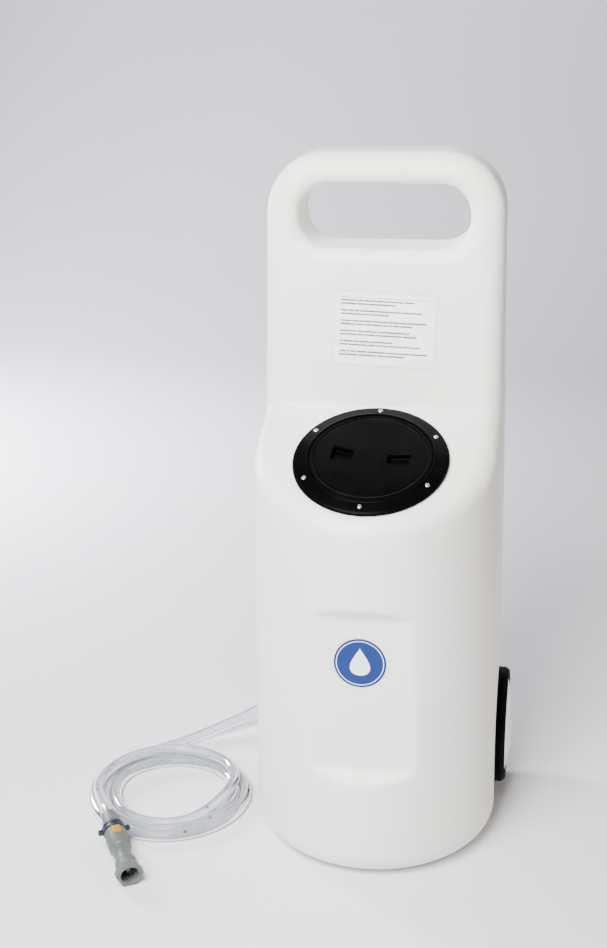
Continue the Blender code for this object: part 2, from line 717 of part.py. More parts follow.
def make_wheel(side, word):
    """One wheel that turns freely on the axle's end: tyre, rim and snap-in hub cap."""
    hub = add_empty(word + "_wheel_axis", (side * WHEEL_CENTRE_X, AXLE_Y, AXLE_HEIGHT))
    outward = Matrix.Rotation(side * pi / 2, 4, "Y")
    half = WHEEL_WIDTH / 2
    seat = RIM_OUTER_RADIUS + GAP
    tyre = [(seat, half - 0.004), (seat + 0.006, half - 0.0008), (WHEEL_RADIUS - 0.005, half),
            (WHEEL_RADIUS, half - 0.004), (WHEEL_RADIUS, 0.004 - half), (WHEEL_RADIUS - 0.005, -half),
            (seat + 0.006, 0.0008 - half), (seat, 0.004 - half)]
    add_part(word + "_tyre", turned_mesh(word + "_tyre", tyre, ROUND_STEPS), (0.02, 0.02, 0.02), 0.75, 0.0,
             outward, hub)
    bore = AXLE_RADIUS + GAP
    barrel = half - 0.004
    inner_end = TONGUE_HALF_WIDTH + GAP - WHEEL_CENTRE_X
    rim = [(bore, HUB_OUTER_END), (HUB_RADIUS, HUB_OUTER_END), (HUB_RADIUS + 0.001, 0.003),
           (RIM_OUTER_RADIUS - 0.007, 0.003), (RIM_OUTER_RADIUS - 0.006, barrel),
           (RIM_OUTER_RADIUS, barrel), (RIM_OUTER_RADIUS, -barrel), (RIM_OUTER_RADIUS - 0.006, -barrel),
           (RIM_OUTER_RADIUS - 0.007, -0.003), (HUB_RADIUS + 0.001, -0.003), (HUB_RADIUS, inner_end),
           (bore, inner_end)]
    add_part(word + "_rim", turned_mesh(word + "_rim", rim, 24), (0.75, 0.75, 0.74), 0.45, 0.0, outward, hub)
    low = barrel + GAP
    middle = RIM_OUTER_RADIUS * 0.52
    edge = RIM_OUTER_RADIUS - 0.0005
    cap = [(0, CAP_DOME), (middle, CAP_DOME - 0.0015), (edge - 0.011, CAP_DOME - 0.0050), (edge, low + 0.002),
           (edge, low), (edge - 0.0075, low), (middle, CAP_DOME - 0.0046), (0, CAP_DOME - 0.0030)]
    add_part(word + "_hub_cap", turned_mesh(word + "_hub_cap", cap, 24), (0.80, 0.80, 0.80), 0.30, 0.0,
             outward, hub)


def make_axle():
    """The steel axle through the tank's sleeve, with a push nut at each end."""
    end = WHEEL_CENTRE_X + AXLE_END_IN_HUB
    turn = Matrix.Translation((0, AXLE_Y, AXLE_HEIGHT)) @ Matrix.Rotation(pi / 2, 4, "Y")
    rod = [(0, end), (AXLE_RADIUS - 0.001, end), (AXLE_RADIUS, end - 0.001), (AXLE_RADIUS, 0.001 - end),
           (AXLE_RADIUS - 0.001, -end), (0, -end)]
    add_part("axle", turned_mesh("axle", rod, 20), (0.55, 0.55, 0.56), 0.30, 1.0, turn)
    bore = AXLE_RADIUS + GAP
    low = WHEEL_CENTRE_X + HUB_OUTER_END + GAP
    high = low + PUSH_NUT_THICKNESS
    ring = [(bore, high), (PUSH_NUT_RADIUS, high - 0.0008), (PUSH_NUT_RADIUS, low), (bore, low)]
    nut = turned_mesh("push_nut", ring, 20)
    for side, word in ((-1, "left"), (1, "right")):
        place = Matrix.Translation((0, AXLE_Y, AXLE_HEIGHT)) @ Matrix.Rotation(side * pi / 2, 4, "Y")
        add_part(word + "_push_nut", nut, (0.50, 0.50, 0.51), 0.35, 1.0, place)


def pocket_outline(grow):
    """A finger pocket in plan: a wedge that widens away from the lid's centre."""
    near = POCKET_REACH - POCKET_LENGTH / 2 - grow
    far = POCKET_REACH + POCKET_LENGTH / 2 + grow
    inner = POCKET_INNER_WIDTH / 2 + grow
    outer = POCKET_OUTER_WIDTH / 2 + grow
    return [(near, -inner), (far, -outer), (far, outer), (near, inner)]


def pocket_mesh(name, low, high, grow):
    """Both finger pockets as two separate blocks in one mesh."""
    work = bmesh.new()
    for turn in (0, pi):
        spin = Matrix.Rotation(turn, 3, "Z")
        rows = []
        for z in (low, high):
            rows.append([work.verts.new(spin @ Vector((x, y, z))) for x, y in pocket_outline(grow)])
        for i in range(4):
            k = (i + 1) % 4
            work.faces.new((rows[0][i], rows[0][k], rows[1][k], rows[1][i]))
        work.faces.new(list(reversed(rows[0])))
        work.faces.new(rows[1])
    return finish_mesh(name, work, smooth=False)


def make_filler():
    """The round filler plate on the shoulder: gasket, screwed ring, lid with finger pockets, seal."""
    place = filler_matrix()
    base = FILLER_GASKET + 2 * GAP
    neck = SEAT_RADIUS + NECK_WALL
    gasket = [(FILLER_HOLE_RADIUS + 0.001, GAP + FILLER_GASKET), (PLATE_RADIUS - 0.001, GAP + FILLER_GASKET),
              (PLATE_RADIUS - 0.001, GAP), (FILLER_HOLE_RADIUS + 0.001, GAP)]
    holes = circle_centres(SCREW_CIRCLE, FILLER_SCREWS, pi / 2 + SCREWS_TURN)
    drill = cylinder_mesh("plate_screw_holes", SCREW_SHANK_RADIUS + GAP, -0.01, 0.02, 8, holes)
    drill = add_cutter("plate_screw_holes", drill, place)
    seal = add_part("filler_gasket", turned_mesh("filler_gasket", gasket, ROUND_STEPS), (0.03, 0.03, 0.03),
                    0.8, 0.0, place)
    boolean(seal, drill)

    seat = base + SEAT_HEIGHT - FILLER_GASKET
    screw_seat = base + FLANGE_EDGE + 0.001
    ring = [(LID_RADIUS + 0.0006, PLATE_HEIGHT), (LID_RADIUS + 0.004, PLATE_HEIGHT),
            (SCREW_CIRCLE - SCREW_HEAD_RADIUS - 0.001, screw_seat),
            (SCREW_CIRCLE + SCREW_HEAD_RADIUS + 0.001, screw_seat),
            (PLATE_RADIUS - 0.0015, base + FLANGE_EDGE),
            (PLATE_RADIUS, base + FLANGE_EDGE - 0.0015), (PLATE_RADIUS, base), (neck, base),
            (neck, -NECK_DEPTH), (SEAT_RADIUS, -NECK_DEPTH), (SEAT_RADIUS, seat), (LID_RADIUS + 0.0006, seat)]
    plate = add_part("filler_ring", turned_mesh("filler_ring", ring, ROUND_STEPS), (0.025, 0.025, 0.027),
                     0.42, 0.0, place)
    boolean(plate, drill)
    add_screws("filler_screw", holes, FILLER_SCREW_LENGTH, place, screw_seat + GAP)

    # The lid turns about its own axis and lifts off along it
    axis = add_empty("filler_lid_axis", place.translation, place.to_euler())
    top = PLATE_HEIGHT - 0.0006
    under = top - LID_THICKNESS
    skirt = SEAT_RADIUS - GAP * 2
    floor = top - POCKET_DEPTH
    lid = [(0, top), (LID_RADIUS - 0.001, top), (LID_RADIUS, top - 0.001), (LID_RADIUS, under),
           (skirt, under), (skirt, -LID_SKIRT_DEPTH), (skirt - LID_SKIRT_WALL, -LID_SKIRT_DEPTH),
           (skirt - LID_SKIRT_WALL, under), (0, under)]
    spin = Matrix.Rotation(LID_TURN, 4, "Z")
    cover = add_part("filler_lid", turned_mesh("filler_lid", lid, ROUND_STEPS), (0.022, 0.022, 0.024), 0.45,
                     0.0, spin, axis)
    cups = add_cutter("lid_cups", pocket_mesh("lid_cups", floor - POCKET_WALL, top - 0.001, POCKET_WALL),
                      place @ spin)
    pockets = add_cutter("lid_pockets", pocket_mesh("lid_pockets", floor, top + 0.01, 0.0), place @ spin)
    boolean(cover, cups, "UNION")
    boolean(cover, pockets)
    middle = SEAT_RADIUS + (LID_RADIUS - SEAT_RADIUS) / 2
    wire = (under - seat - 2 * GAP) / 2
    height = seat + GAP + wire
    loop = [(middle + wire * cos(t), height - wire * sin(t)) for t in [pi * k / 3 + pi for k in range(6)]]
    add_part("filler_lid_seal", turned_mesh("filler_lid_seal", loop, 30), (0.04, 0.04, 0.04), 0.7,
             0.0, Matrix.Identity(4), axis)


def make_labels():
    """Two stickers: a wide panel on the back rest and a round badge on the front panel."""
    lean = atan(REST_LEAN)
    y = lean_back(REST_Y, LABEL_Z) - (GAP + LABEL_THICKNESS / 2) / cos(lean)
    place = Matrix.Translation((LABEL_X, y, LABEL_Z)) @ Matrix.Rotation(-lean, 4, "X")
    place = place @ Matrix.Rotation(LABEL_TURN, 4, "Y")
    size = (LABEL_WIDTH, LABEL_THICKNESS, LABEL_HEIGHT)
    add_part("instruction_label", box_mesh("instruction_label", size), (0.84, 0.85, 0.84), 0.25, 0.0, place)
    y = PANEL_Y - GAP
    place = Matrix.Translation((BADGE_X, y, BADGE_Z)) @ Matrix.Rotation(pi / 2, 4, "X")
    disc = cylinder_mesh("front_badge", BADGE_RADIUS, 0, LABEL_THICKNESS, 32)
    add_part("front_badge", disc, (0.02, 0.22, 0.60), 0.35, 0.0, place)


def make_cover():
    """The hat-shaped bay cover with its gasket and screws, and the holes for what it carries."""
    frame = bay_rings([(BACK_Y + GAP, COVER_FLANGE - 0.001)])[0]
    inner = bay_rings([(BACK_Y + GAP, 0.001)])[0]
    work = bmesh.new()
    rows = []
    for ring, y in ((inner, BACK_Y + GAP), (frame, BACK_Y + GAP), (frame, BACK_Y + GAP + COVER_GASKET),
                    (inner, BACK_Y + GAP + COVER_GASKET)):
        rows.append([work.verts.new((x, y, z)) for x, _, z in ring])
    for lower, upper in zip(rows, rows[1:] + rows[:1]):
        for i in range(len(lower)):
            k = (i + 1) % len(lower)
            work.faces.new((lower[i], lower[k], upper[k], upper[i]))
    gasket = add_part("rear_cover_gasket", finish_mesh("rear_cover_gasket", work, smooth=False),
                      (0.05, 0.05, 0.05), 0.9)

    def outline(y, grow, corner):
        points = rounded_rectangle(BAY_HALF_WIDTH + grow, BAY_HALF_HEIGHT + grow, corner, 3)
        return [(x, y, BAY_CENTRE_Z + z) for x, z in points]

    ceiling = COVER_INNER_Y
    shelf = COVER_Y + COVER_WALL
    rings = [outline(ceiling, -COVER_EDGE, BAY_CORNER - COVER_EDGE),
             outline(ceiling - COVER_EDGE, 0, BAY_CORNER), outline(COVER_Y, 0, BAY_CORNER),
             outline(COVER_Y, COVER_FLANGE, COVER_CORNER),
             outline(shelf - 0.001, COVER_FLANGE, COVER_CORNER),
             outline(shelf, COVER_FLANGE - 0.001, COVER_CORNER - 0.001),
             outline(shelf, COVER_WALL, BAY_CORNER + COVER_WALL),
             outline(COVER_FACE_Y - COVER_EDGE, COVER_WALL, BAY_CORNER + COVER_WALL),
             outline(COVER_FACE_Y - COVER_EDGE * 0.3, COVER_WALL - COVER_EDGE * 0.3, BAY_CORNER),
             outline(COVER_FACE_Y, COVER_WALL - COVER_EDGE, BAY_CORNER - COVER_WALL)]
    cover = add_part("rear_cover", loft("rear_cover", rings), (0.13, 0.13, 0.14), 0.55)
    places = [(x, -z) for x, z in cover_screw_places()]
    drill = cylinder_mesh("cover_drill", SCREW_SHANK_RADIUS + GAP, -0.01, 0.012, 8, places)
    drill = add_cutter("cover_drill", drill, along_y(BACK_Y))
    boolean(cover, drill)
    boolean(gasket, drill)
    window = box_mesh("switch_window", (SWITCH_WIDTH, 0.03, SWITCH_HEIGHT),
                      (SWITCH_X, COVER_FACE_Y, SWITCH_Z))
    boolean(cover, add_cutter("switch_window", window))
    round_holes = bmesh.new()
    for x, z, radius in ((SOCKET_X, SOCKET_Z, SOCKET_RADIUS), (OUTLET_X, OUTLET_Z, OUTLET_SHANK)):
        spot = Matrix.Translation((x, COVER_FACE_Y, z)) @ Matrix.Rotation(pi / 2, 4, "X")
        bmesh.ops.create_cone(round_holes, cap_ends=True, segments=SMALL_STEPS, radius1=radius + GAP,
                              radius2=radius + GAP, depth=0.03, matrix=spot)
    boolean(cover, add_cutter("cover_round_holes", finish_mesh("cover_round_holes", round_holes)))
    add_screws("rear_cover_screw", places, COVER_SCREW_LENGTH, along_y(COVER_Y + COVER_WALL), GAP)


def make_switch():
    """The power switch: a housing with a bezel on the cover's face, and a rocker on its pivot."""
    width = SWITCH_WIDTH - 2 * GAP
    height = SWITCH_HEIGHT - 2 * GAP
    sections = [(-SWITCH_DEPTH, 0, 0), (GAP, 0, 0), (GAP, SWITCH_BEZEL, SWITCH_BEZEL),
                (SWITCH_BEZEL_THICKNESS, SWITCH_BEZEL - 0.0005, SWITCH_BEZEL - 0.0005)]
    rings = []
    for y, grow_x, grow_z in sections:
        x = width / 2 + grow_x
        z = height / 2 + grow_z
        rings.append([(x, y, -z), (x, y, z), (-x, y, z), (-x, y, -z)])
    place = Matrix.Translation((SWITCH_X, COVER_FACE_Y, SWITCH_Z))
    housing = add_part("power_switch_housing", loft("power_switch_housing", rings), (0.03, 0.03, 0.03), 0.4,
                       0.0, place)
    well = box_mesh("switch_well", (width - 2 * SWITCH_WALL, SWITCH_DEPTH, height - 2 * SWITCH_WALL),
                    (SWITCH_X, COVER_FACE_Y - 0.010 + SWITCH_DEPTH / 2, SWITCH_Z))
    boolean(housing, add_cutter("switch_well", well))
    pivot = add_empty("power_rocker_axis", (SWITCH_X, COVER_FACE_Y - ROCKER_PIVOT_DEPTH, SWITCH_Z))
    half = width / 2 - SWITCH_WALL - GAP * 2
    reach = height / 2 - SWITCH_WALL - 0.0012
    side = [(-0.0042, -reach * 0.5), (-0.0015, -reach), (0.0050, -reach), (0.0034, 0), (0.0050, reach),
            (-0.0015, reach), (-0.0042, reach * 0.5)]
    rings = [[(x, y, z) for y, z in side] for x in (-half, half)]
    add_part("power_switch_rocker", loft("power_switch_rocker", rings), (0.55, 0.03, 0.03), 0.35, 0.0,
             Matrix.Rotation(ROCKER_REST_TILT, 4, "X"), pivot)


def make_charge_socket():
    """The charging socket: a round body held by a nut behind the cover, and a cap that flips up."""
    place = Matrix.Translation((SOCKET_X, 0, SOCKET_Z)) @ along_y(COVER_FACE_Y)
    body = [(SOCKET_BORE, SOCKET_FLANGE_THICKNESS), (SOCKET_FLANGE_RADIUS - 0.001, SOCKET_FLANGE_THICKNESS),
            (SOCKET_FLANGE_RADIUS, SOCKET_FLANGE_THICKNESS - 0.001), (SOCKET_FLANGE_RADIUS, GAP),
            (SOCKET_RADIUS, GAP), (SOCKET_RADIUS, -SOCKET_DEPTH), (0, -SOCKET_DEPTH)]
    bottom = 0.003 - SOCKET_DEPTH
    pin = [(0, bottom + 0.011), (SOCKET_PIN, bottom + 0.011), (SOCKET_PIN, bottom), (SOCKET_BORE, bottom)]
    body = pin + body
    socket = add_part("charge_socket", turned_mesh("charge_socket", body, SMALL_STEPS), (0.04, 0.04, 0.04),
                      0.4, 0.0, place)
    hinge_rise = SOCKET_FLANGE_RADIUS + 2 * CAP_PIN_RADIUS
    cap_low = SOCKET_FLANGE_THICKNESS + GAP
    ears = (("socket_ear_feet", -0.002, CAP_PIN_RADIUS, SOCKET_FLANGE_THICKNESS),
            ("socket_ears", 0.0003, 0.0045, cap_low + CAP_THICKNESS))
    for name, low_z, high_z, thickness in ears:
        pair = bmesh.new()
        rise = SOCKET_FLANGE_RADIUS + (low_z + high_z) / 2
        for x in (-CAP_EAR_X, CAP_EAR_X):
            spot = Matrix.Translation((x, -rise, (GAP + thickness) / 2))
            block = Matrix.Diagonal((CAP_EAR_WIDTH, high_z - low_z, thickness - GAP, 1))
            bmesh.ops.create_cube(pair, size=1.0, matrix=spot @ block)
        boolean(socket, add_cutter(name, finish_mesh(name, pair, smooth=False), place), "UNION")
    low = -COVER_WALL - GAP
    nut = [(SOCKET_RADIUS + GAP, low), (SOCKET_NUT_RADIUS, low),
           (SOCKET_NUT_RADIUS, low - SOCKET_NUT_THICKNESS), (SOCKET_RADIUS + GAP, low - SOCKET_NUT_THICKNESS)]
    add_part("charge_socket_nut", turned_mesh("charge_socket_nut", nut, 6 * 3), (0.55, 0.55, 0.55), 0.35, 1.0,
             place)
    hinge_y = COVER_FACE_Y + cap_low + CAP_THICKNESS / 2
    hinge = add_empty("charge_cap_axis", (SOCKET_X, hinge_y, SOCKET_Z + hinge_rise))
    disc = cylinder_mesh("charge_cap", SOCKET_FLANGE_RADIUS - 0.0005, -CAP_THICKNESS / 2, CAP_THICKNESS / 2,
                         20, [(0, hinge_rise)])
    cap = add_part("charge_cap", disc, (0.05, 0.05, 0.05), 0.5, 0.0, Matrix.Rotation(-pi / 2, 4, "X"), hinge)
    width = 2 * (CAP_EAR_X - CAP_EAR_WIDTH / 2 - GAP)
    tongue = box_mesh("cap_tongue", (width, CAP_THICKNESS - 0.0004, 0.006),
                      (0, 0, -0.0015))
    boolean(cap, add_cutter("cap_tongue", tongue, Matrix.Translation(hinge.location)), "UNION")


def bar_screw_places():
    """Centres of the battery bar's screws on the bay's front wall, as (x, z)."""
    x = BATTERY_WIDTH / 2 + BAR_THICKNESS + 2 * GAP + BAR_FOOT / 2
    z = BATTERY_Z + BAR_ABOVE_FLOOR
    return [(-x, z), (x, z)]


def make_battery():
    """The sealed battery with its two terminals on the bay's floor, and the steel bar that holds it."""
    size = (BATTERY_WIDTH, BATTERY_DEPTH, BATTERY_HEIGHT)
    centre = (0, BATTERY_Y, BATTERY_Z + BATTERY_HEIGHT / 2)
    battery = add_part("battery", box_mesh("battery", size, bevel=0.002), (0.12, 0.13, 0.14), 0.6, 0.0,
                       Matrix.Translation(centre))
    low = BATTERY_Z + BATTERY_HEIGHT
    for name, width, depth, height in (("terminal_bases", 0.012, 0.016, TERMINAL_HEIGHT / 2),
                                       ("terminal_tabs", 0.0010, 0.0063, TERMINAL_HEIGHT)):
        work = bmesh.new()
        for x in (-TERMINAL_X, TERMINAL_X):
            spot = Matrix.Translation((x, BAY_Y + TERMINAL_Y_FROM_FRONT, low - 0.001 + height / 2))
            block = Matrix.Diagonal((width, depth, height + 0.002, 1))
            bmesh.ops.create_cube(work, size=1.0, matrix=spot @ block)
        boolean(battery, add_cutter(name, finish_mesh(name, work, smooth=False)), "UNION")
    inner = BATTERY_WIDTH / 2 + GAP
    outer = inner + BAR_THICKNESS
    front = BAY_Y + GAP
    reach = BATTERY_Y + BATTERY_DEPTH / 2 + GAP
    foot = outer + BAR_FOOT
    path = [(foot, front), (foot, front + BAR_THICKNESS), (outer, front + BAR_THICKNESS),
            (outer, reach + BAR_THICKNESS), (-outer, reach + BAR_THICKNESS), (-outer, front + BAR_THICKNESS),
            (-foot, front + BAR_THICKNESS), (-foot, front), (-inner, front), (-inner, reach), (inner, reach),
            (inner, front)]
    middle = BATTERY_Z + BAR_ABOVE_FLOOR
    rings = [[(x, y, middle + z) for x, y in path] for z in (-BAR_HEIGHT / 2, BAR_HEIGHT / 2)]
    bar = add_part("battery_bar", loft("battery_bar", rings), (0.58, 0.58, 0.59), 0.35, 1.0)
    places = [(x, -z) for x, z in bar_screw_places()]
    drill = cylinder_mesh("bar_drill", SCREW_SHANK_RADIUS + GAP, -0.002, 0.004, 8, places)
    boolean(bar, add_cutter("bar_drill", drill, along_y(BAY_Y)))
    add_screws("battery_bar_screw", places, BAR_SCREW_LENGTH, along_y(BAY_Y + BAR_THICKNESS + GAP), GAP)


def pump_screw_places():
    """Centres of the pump plate's screws on the bay's front wall, as (x, z)."""
    left = PUMP_X - PUMP_HEAD_WIDTH / 2
    right = PUMP_X + PUMP_HEAD_WIDTH / 2 + MOTOR_LENGTH
    return [(left + PUMP_PLATE_EDGE, PUMP_Z + PUMP_PLATE_HEIGHT / 2 - PUMP_PLATE_EDGE),
            (right - PUMP_PLATE_EDGE, PUMP_Z - PUMP_PLATE_HEIGHT / 2 + PUMP_PLATE_EDGE)]


def suction_height():
    """Height of the suction fitting's bore in the bay's front wall, under the pump's lower port."""
    return PUMP_Z - PUMP_HEAD_SIZE / 2 - PORT_LENGTH - 0.026


def make_pump():
    """The small diaphragm pump across the bay: head with ports and pressure switch, motor, and plate."""
    head_low = PUMP_Y - PUMP_HEAD_SIZE / 2
    plate_y = BAY_Y + GAP
    left = PUMP_X - PUMP_HEAD_WIDTH / 2
    right = PUMP_X + PUMP_HEAD_WIDTH / 2
    head = add_part("pump_head", box_mesh("pump_head", (PUMP_HEAD_WIDTH, PUMP_HEAD_SIZE, PUMP_HEAD_SIZE),
                                          bevel=0.004), (0.06, 0.06, 0.06), 0.5, 0.0,
                    Matrix.Translation((PUMP_X, PUMP_Y, PUMP_Z)))
    reach = PUMP_HEAD_SIZE / 2 + PORT_LENGTH
    ports = cylinder_mesh("pump_ports", PORT_RADIUS, -reach, reach, SMALL_STEPS)
    boolean(head, add_cutter("pump_ports", ports, Matrix.Translation((PUMP_X, PUMP_Y, PUMP_Z))), "UNION")
    turn = Matrix.Translation((right + GAP, PUMP_Y, PUMP_Z)) @ Matrix.Rotation(pi / 2, 4, "Y")
    motor = [(0, MOTOR_LENGTH), (0.008, MOTOR_LENGTH), (0.008, MOTOR_LENGTH - 0.004),
             (MOTOR_RADIUS - 0.003, MOTOR_LENGTH - 0.004), (MOTOR_RADIUS, MOTOR_LENGTH - 0.007),
             (MOTOR_RADIUS, 0), (0, 0)]
    add_part("pump_motor", turned_mesh("pump_motor", motor, 24), (0.10, 0.10, 0.11), 0.35, 0.6, turn)
    pressure = box_mesh("pressure_switch", PRESSURE_SWITCH_SIZE)
    spot = Matrix.Translation((left - PRESSURE_SWITCH_SIZE[0] / 2 + 0.002, PUMP_Y, PUMP_Z))
    boolean(head, add_cutter("pressure_switch", pressure, spot), "UNION")
    plate_size = (right + MOTOR_LENGTH - left, PUMP_PLATE_THICKNESS, PUMP_PLATE_HEIGHT)
    plate = add_part("pump_plate", box_mesh("pump_plate", plate_size), (0.60, 0.60, 0.61), 0.4, 1.0,
                     Matrix.Translation((left + plate_size[0] / 2, plate_y + plate_size[1] / 2, PUMP_Z)))
    web_low = plate_y + PUMP_PLATE_THICKNESS - 0.0005
    web = box_mesh("pump_web", (PUMP_HEAD_WIDTH * 0.5, head_low - GAP - web_low, 0.022),
                   (PUMP_X, (web_low + head_low - GAP) / 2, PUMP_Z))
    boolean(plate, add_cutter("pump_web", web), "UNION")
    saddle_x = right + GAP + MOTOR_LENGTH * 0.55
    motor_low = PUMP_Y - MOTOR_RADIUS - GAP
    saddle = box_mesh("pump_saddle", (0.014, motor_low - web_low, 0.016),
                      (saddle_x, (web_low + motor_low) / 2, PUMP_Z))
    boolean(plate, add_cutter("pump_saddle", saddle), "UNION")
    places = [(x, -z) for x, z in pump_screw_places()]
    drill = cylinder_mesh("plate_drill", SCREW_SHANK_RADIUS + GAP, -0.002, 0.02, 8, places)
    boolean(plate, add_cutter("plate_drill", drill, along_y(BAY_Y)))
    add_screws("pump_screw", places, PUMP_SCREW_LENGTH, along_y(plate_y + PUMP_PLATE_THICKNESS), GAP)


def make_suction():
    """The suction side: an elbow through the bay wall, a dip tube with a strainer inside the tank,
    and a short hose up to the pump's lower port."""
    z = suction_height()
    inner_y = BAY_Y - BAY_FRONT_WALL
    drop_y = inner_y - 0.016
    ratio_flange = 0.013 / PORT_RADIUS
    path = [Vector((PUMP_X, drop_y, z - 0.024)), Vector((PUMP_X, drop_y, z - 0.006)),
            Vector((PUMP_X, drop_y + 0.002, z - 0.002)), Vector((PUMP_X, drop_y + 0.006, z)),
            Vector((PUMP_X, inner_y - GAP - 0.003, z)), Vector((PUMP_X, inner_y - GAP, z))]
    radii = [1.0, 1.0, 1.0, 1.0, ratio_flange, ratio_flange]
    path += [Vector((PUMP_X, inner_y - GAP + 0.0001, z)), Vector((PUMP_X, BAY_Y + GAP, z)),
             Vector((PUMP_X, BAY_Y + GAP + 0.0001, z)), Vector((PUMP_X, BAY_Y + 0.005, z)),
             Vector((PUMP_X, BAY_Y + 0.0051, z)), Vector((PUMP_X, PUMP_Y - 0.008, z)),
             Vector((PUMP_X, PUMP_Y - 0.002, z + 0.002)), Vector((PUMP_X, PUMP_Y, z + 0.008)),
             Vector((PUMP_X, PUMP_Y, z + 0.014))]
    radii += [1.0, 1.0, ratio_flange, ratio_flange, 1.0, 1.0, 1.0, 1.0, 1.0]
    add_tube("suction_fitting", path, PORT_RADIUS, (0.80, 0.80, 0.78), 0.5, radii=radii)
    top = z - 0.024 - GAP
    foot = DIP_TUBE_END - STRAINER_HEIGHT
    tube = [(0, top), (DIP_TUBE_RADIUS, top), (DIP_TUBE_RADIUS, DIP_TUBE_END),
            (STRAINER_RADIUS - 0.002, DIP_TUBE_END), (STRAINER_RADIUS, DIP_TUBE_END - 0.003),
            (STRAINER_RADIUS, foot), (0, foot)]
    add_part("dip_tube", turned_mesh("dip_tube", tube, SMALL_STEPS), (0.78, 0.78, 0.76), 0.45, 0.0,
             Matrix.Translation((PUMP_X, drop_y, 0)))
    port = PUMP_Z - PUMP_HEAD_SIZE / 2 - PORT_LENGTH
    ends = [Vector((PUMP_X, PUMP_Y, z + 0.014 + GAP)), Vector((PUMP_X, PUMP_Y, port - GAP))]
    add_tube("suction_hose", ends, INNER_HOSE_RADIUS, (0.80, 0.82, 0.84), 0.2)


def make_outlet():
    """The pressure side: hose from the pump's upper port to the elbow that passes through the cover."""
    start = Vector((PUMP_X, PUMP_Y, PUMP_Z + PUMP_HEAD_SIZE / 2 + PORT_LENGTH + GAP))
    inner_end = Vector((OUTLET_X, COVER_INNER_Y - OUTLET_NUT_THICKNESS - 0.014, OUTLET_Z))
    route = [start + Vector(bend) for bend in INNER_HOSE_BENDS]
    route += [inner_end + Vector((0, -0.012, 0.0005)), inner_end + Vector((0, -0.004, 0))]
    route = [start] + smooth_route(route, 26) + [inner_end]
    add_tube("outlet_hose_inner", route, INNER_HOSE_RADIUS, (0.80, 0.82, 0.84), 0.2)

    face = COVER_FACE_Y
    flange = OUTLET_FLANGE / OUTLET_SHANK
    bend = face + OUTLET_STANDOFF
    path = [Vector((OUTLET_X, inner_end.y + GAP, OUTLET_Z)), Vector((OUTLET_X, face + GAP, OUTLET_Z)),
            Vector((OUTLET_X, face + GAP + 0.0001, OUTLET_Z)),
            Vector((OUTLET_X, face + OUTLET_FLANGE_THICKNESS, OUTLET_Z)),
            Vector((OUTLET_X, face + OUTLET_FLANGE_THICKNESS + 0.0001, OUTLET_Z)),
            Vector((OUTLET_X, bend - 0.006, OUTLET_Z))]
    radii = [1.0, 1.0, flange, flange, 1.0, 1.0]
    corner = Vector((OUTLET_X, bend, OUTLET_Z))
    for share in (0.25, 0.5, 0.75):
        arm_in = corner + Vector((0, -0.006, 0)) * (1 - share)
        arm_out = corner + OUTLET_DIRECTION * 0.006 * share
        path.append(arm_in.lerp(arm_out, share))
        radii.append(1.0)
    path += [corner + OUTLET_DIRECTION * 0.006, outlet_tip()]
    radii += [1.0, 1.0]
    add_tube("outlet_elbow", path, OUTLET_SHANK, (0.05, 0.05, 0.05), 0.5, radii=radii)
    low = COVER_INNER_Y - GAP
    nut = [(OUTLET_SHANK + GAP, low), (OUTLET_NUT_RADIUS, low),
           (OUTLET_NUT_RADIUS, low - OUTLET_NUT_THICKNESS), (OUTLET_SHANK + GAP, low - OUTLET_NUT_THICKNESS)]
    place = Matrix.Translation((OUTLET_X, 0, OUTLET_Z)) @ along_y(0)
    add_part("outlet_nut", turned_mesh("outlet_nut", nut, 18), (0.05, 0.05, 0.05), 0.5, 0.0, place)
    ring = [(HOSE_RADIUS + GAP, CLAMP_WIDTH / 2), (HOSE_RADIUS + GAP + CLAMP_THICKNESS, CLAMP_WIDTH / 2),
            (HOSE_RADIUS + GAP + CLAMP_THICKNESS, -CLAMP_WIDTH / 2), (HOSE_RADIUS + GAP, -CLAMP_WIDTH / 2)]
    seat = outlet_tip() - OUTLET_DIRECTION * 0.008
    clamp = add_part("outlet_clamp", turned_mesh("outlet_clamp", ring, 20), (0.62, 0.62, 0.63), 0.3, 1.0,
                     frame_along(seat, OUTLET_DIRECTION))
    ear = box_mesh("clamp_ear", (0.008, 0.0045, CLAMP_WIDTH - 0.001),
                   (0, HOSE_RADIUS + CLAMP_THICKNESS + 0.002, 0))
    boolean(clamp, add_cutter("clamp_ear", ear, frame_along(seat, OUTLET_DIRECTION)), "UNION")


def outlet_tip():
    """Where the outlet elbow ends and the clear hose begins."""
    return Vector((OUTLET_X, COVER_FACE_Y + OUTLET_STANDOFF, OUTLET_Z)) + OUTLET_DIRECTION * OUTLET_REACH


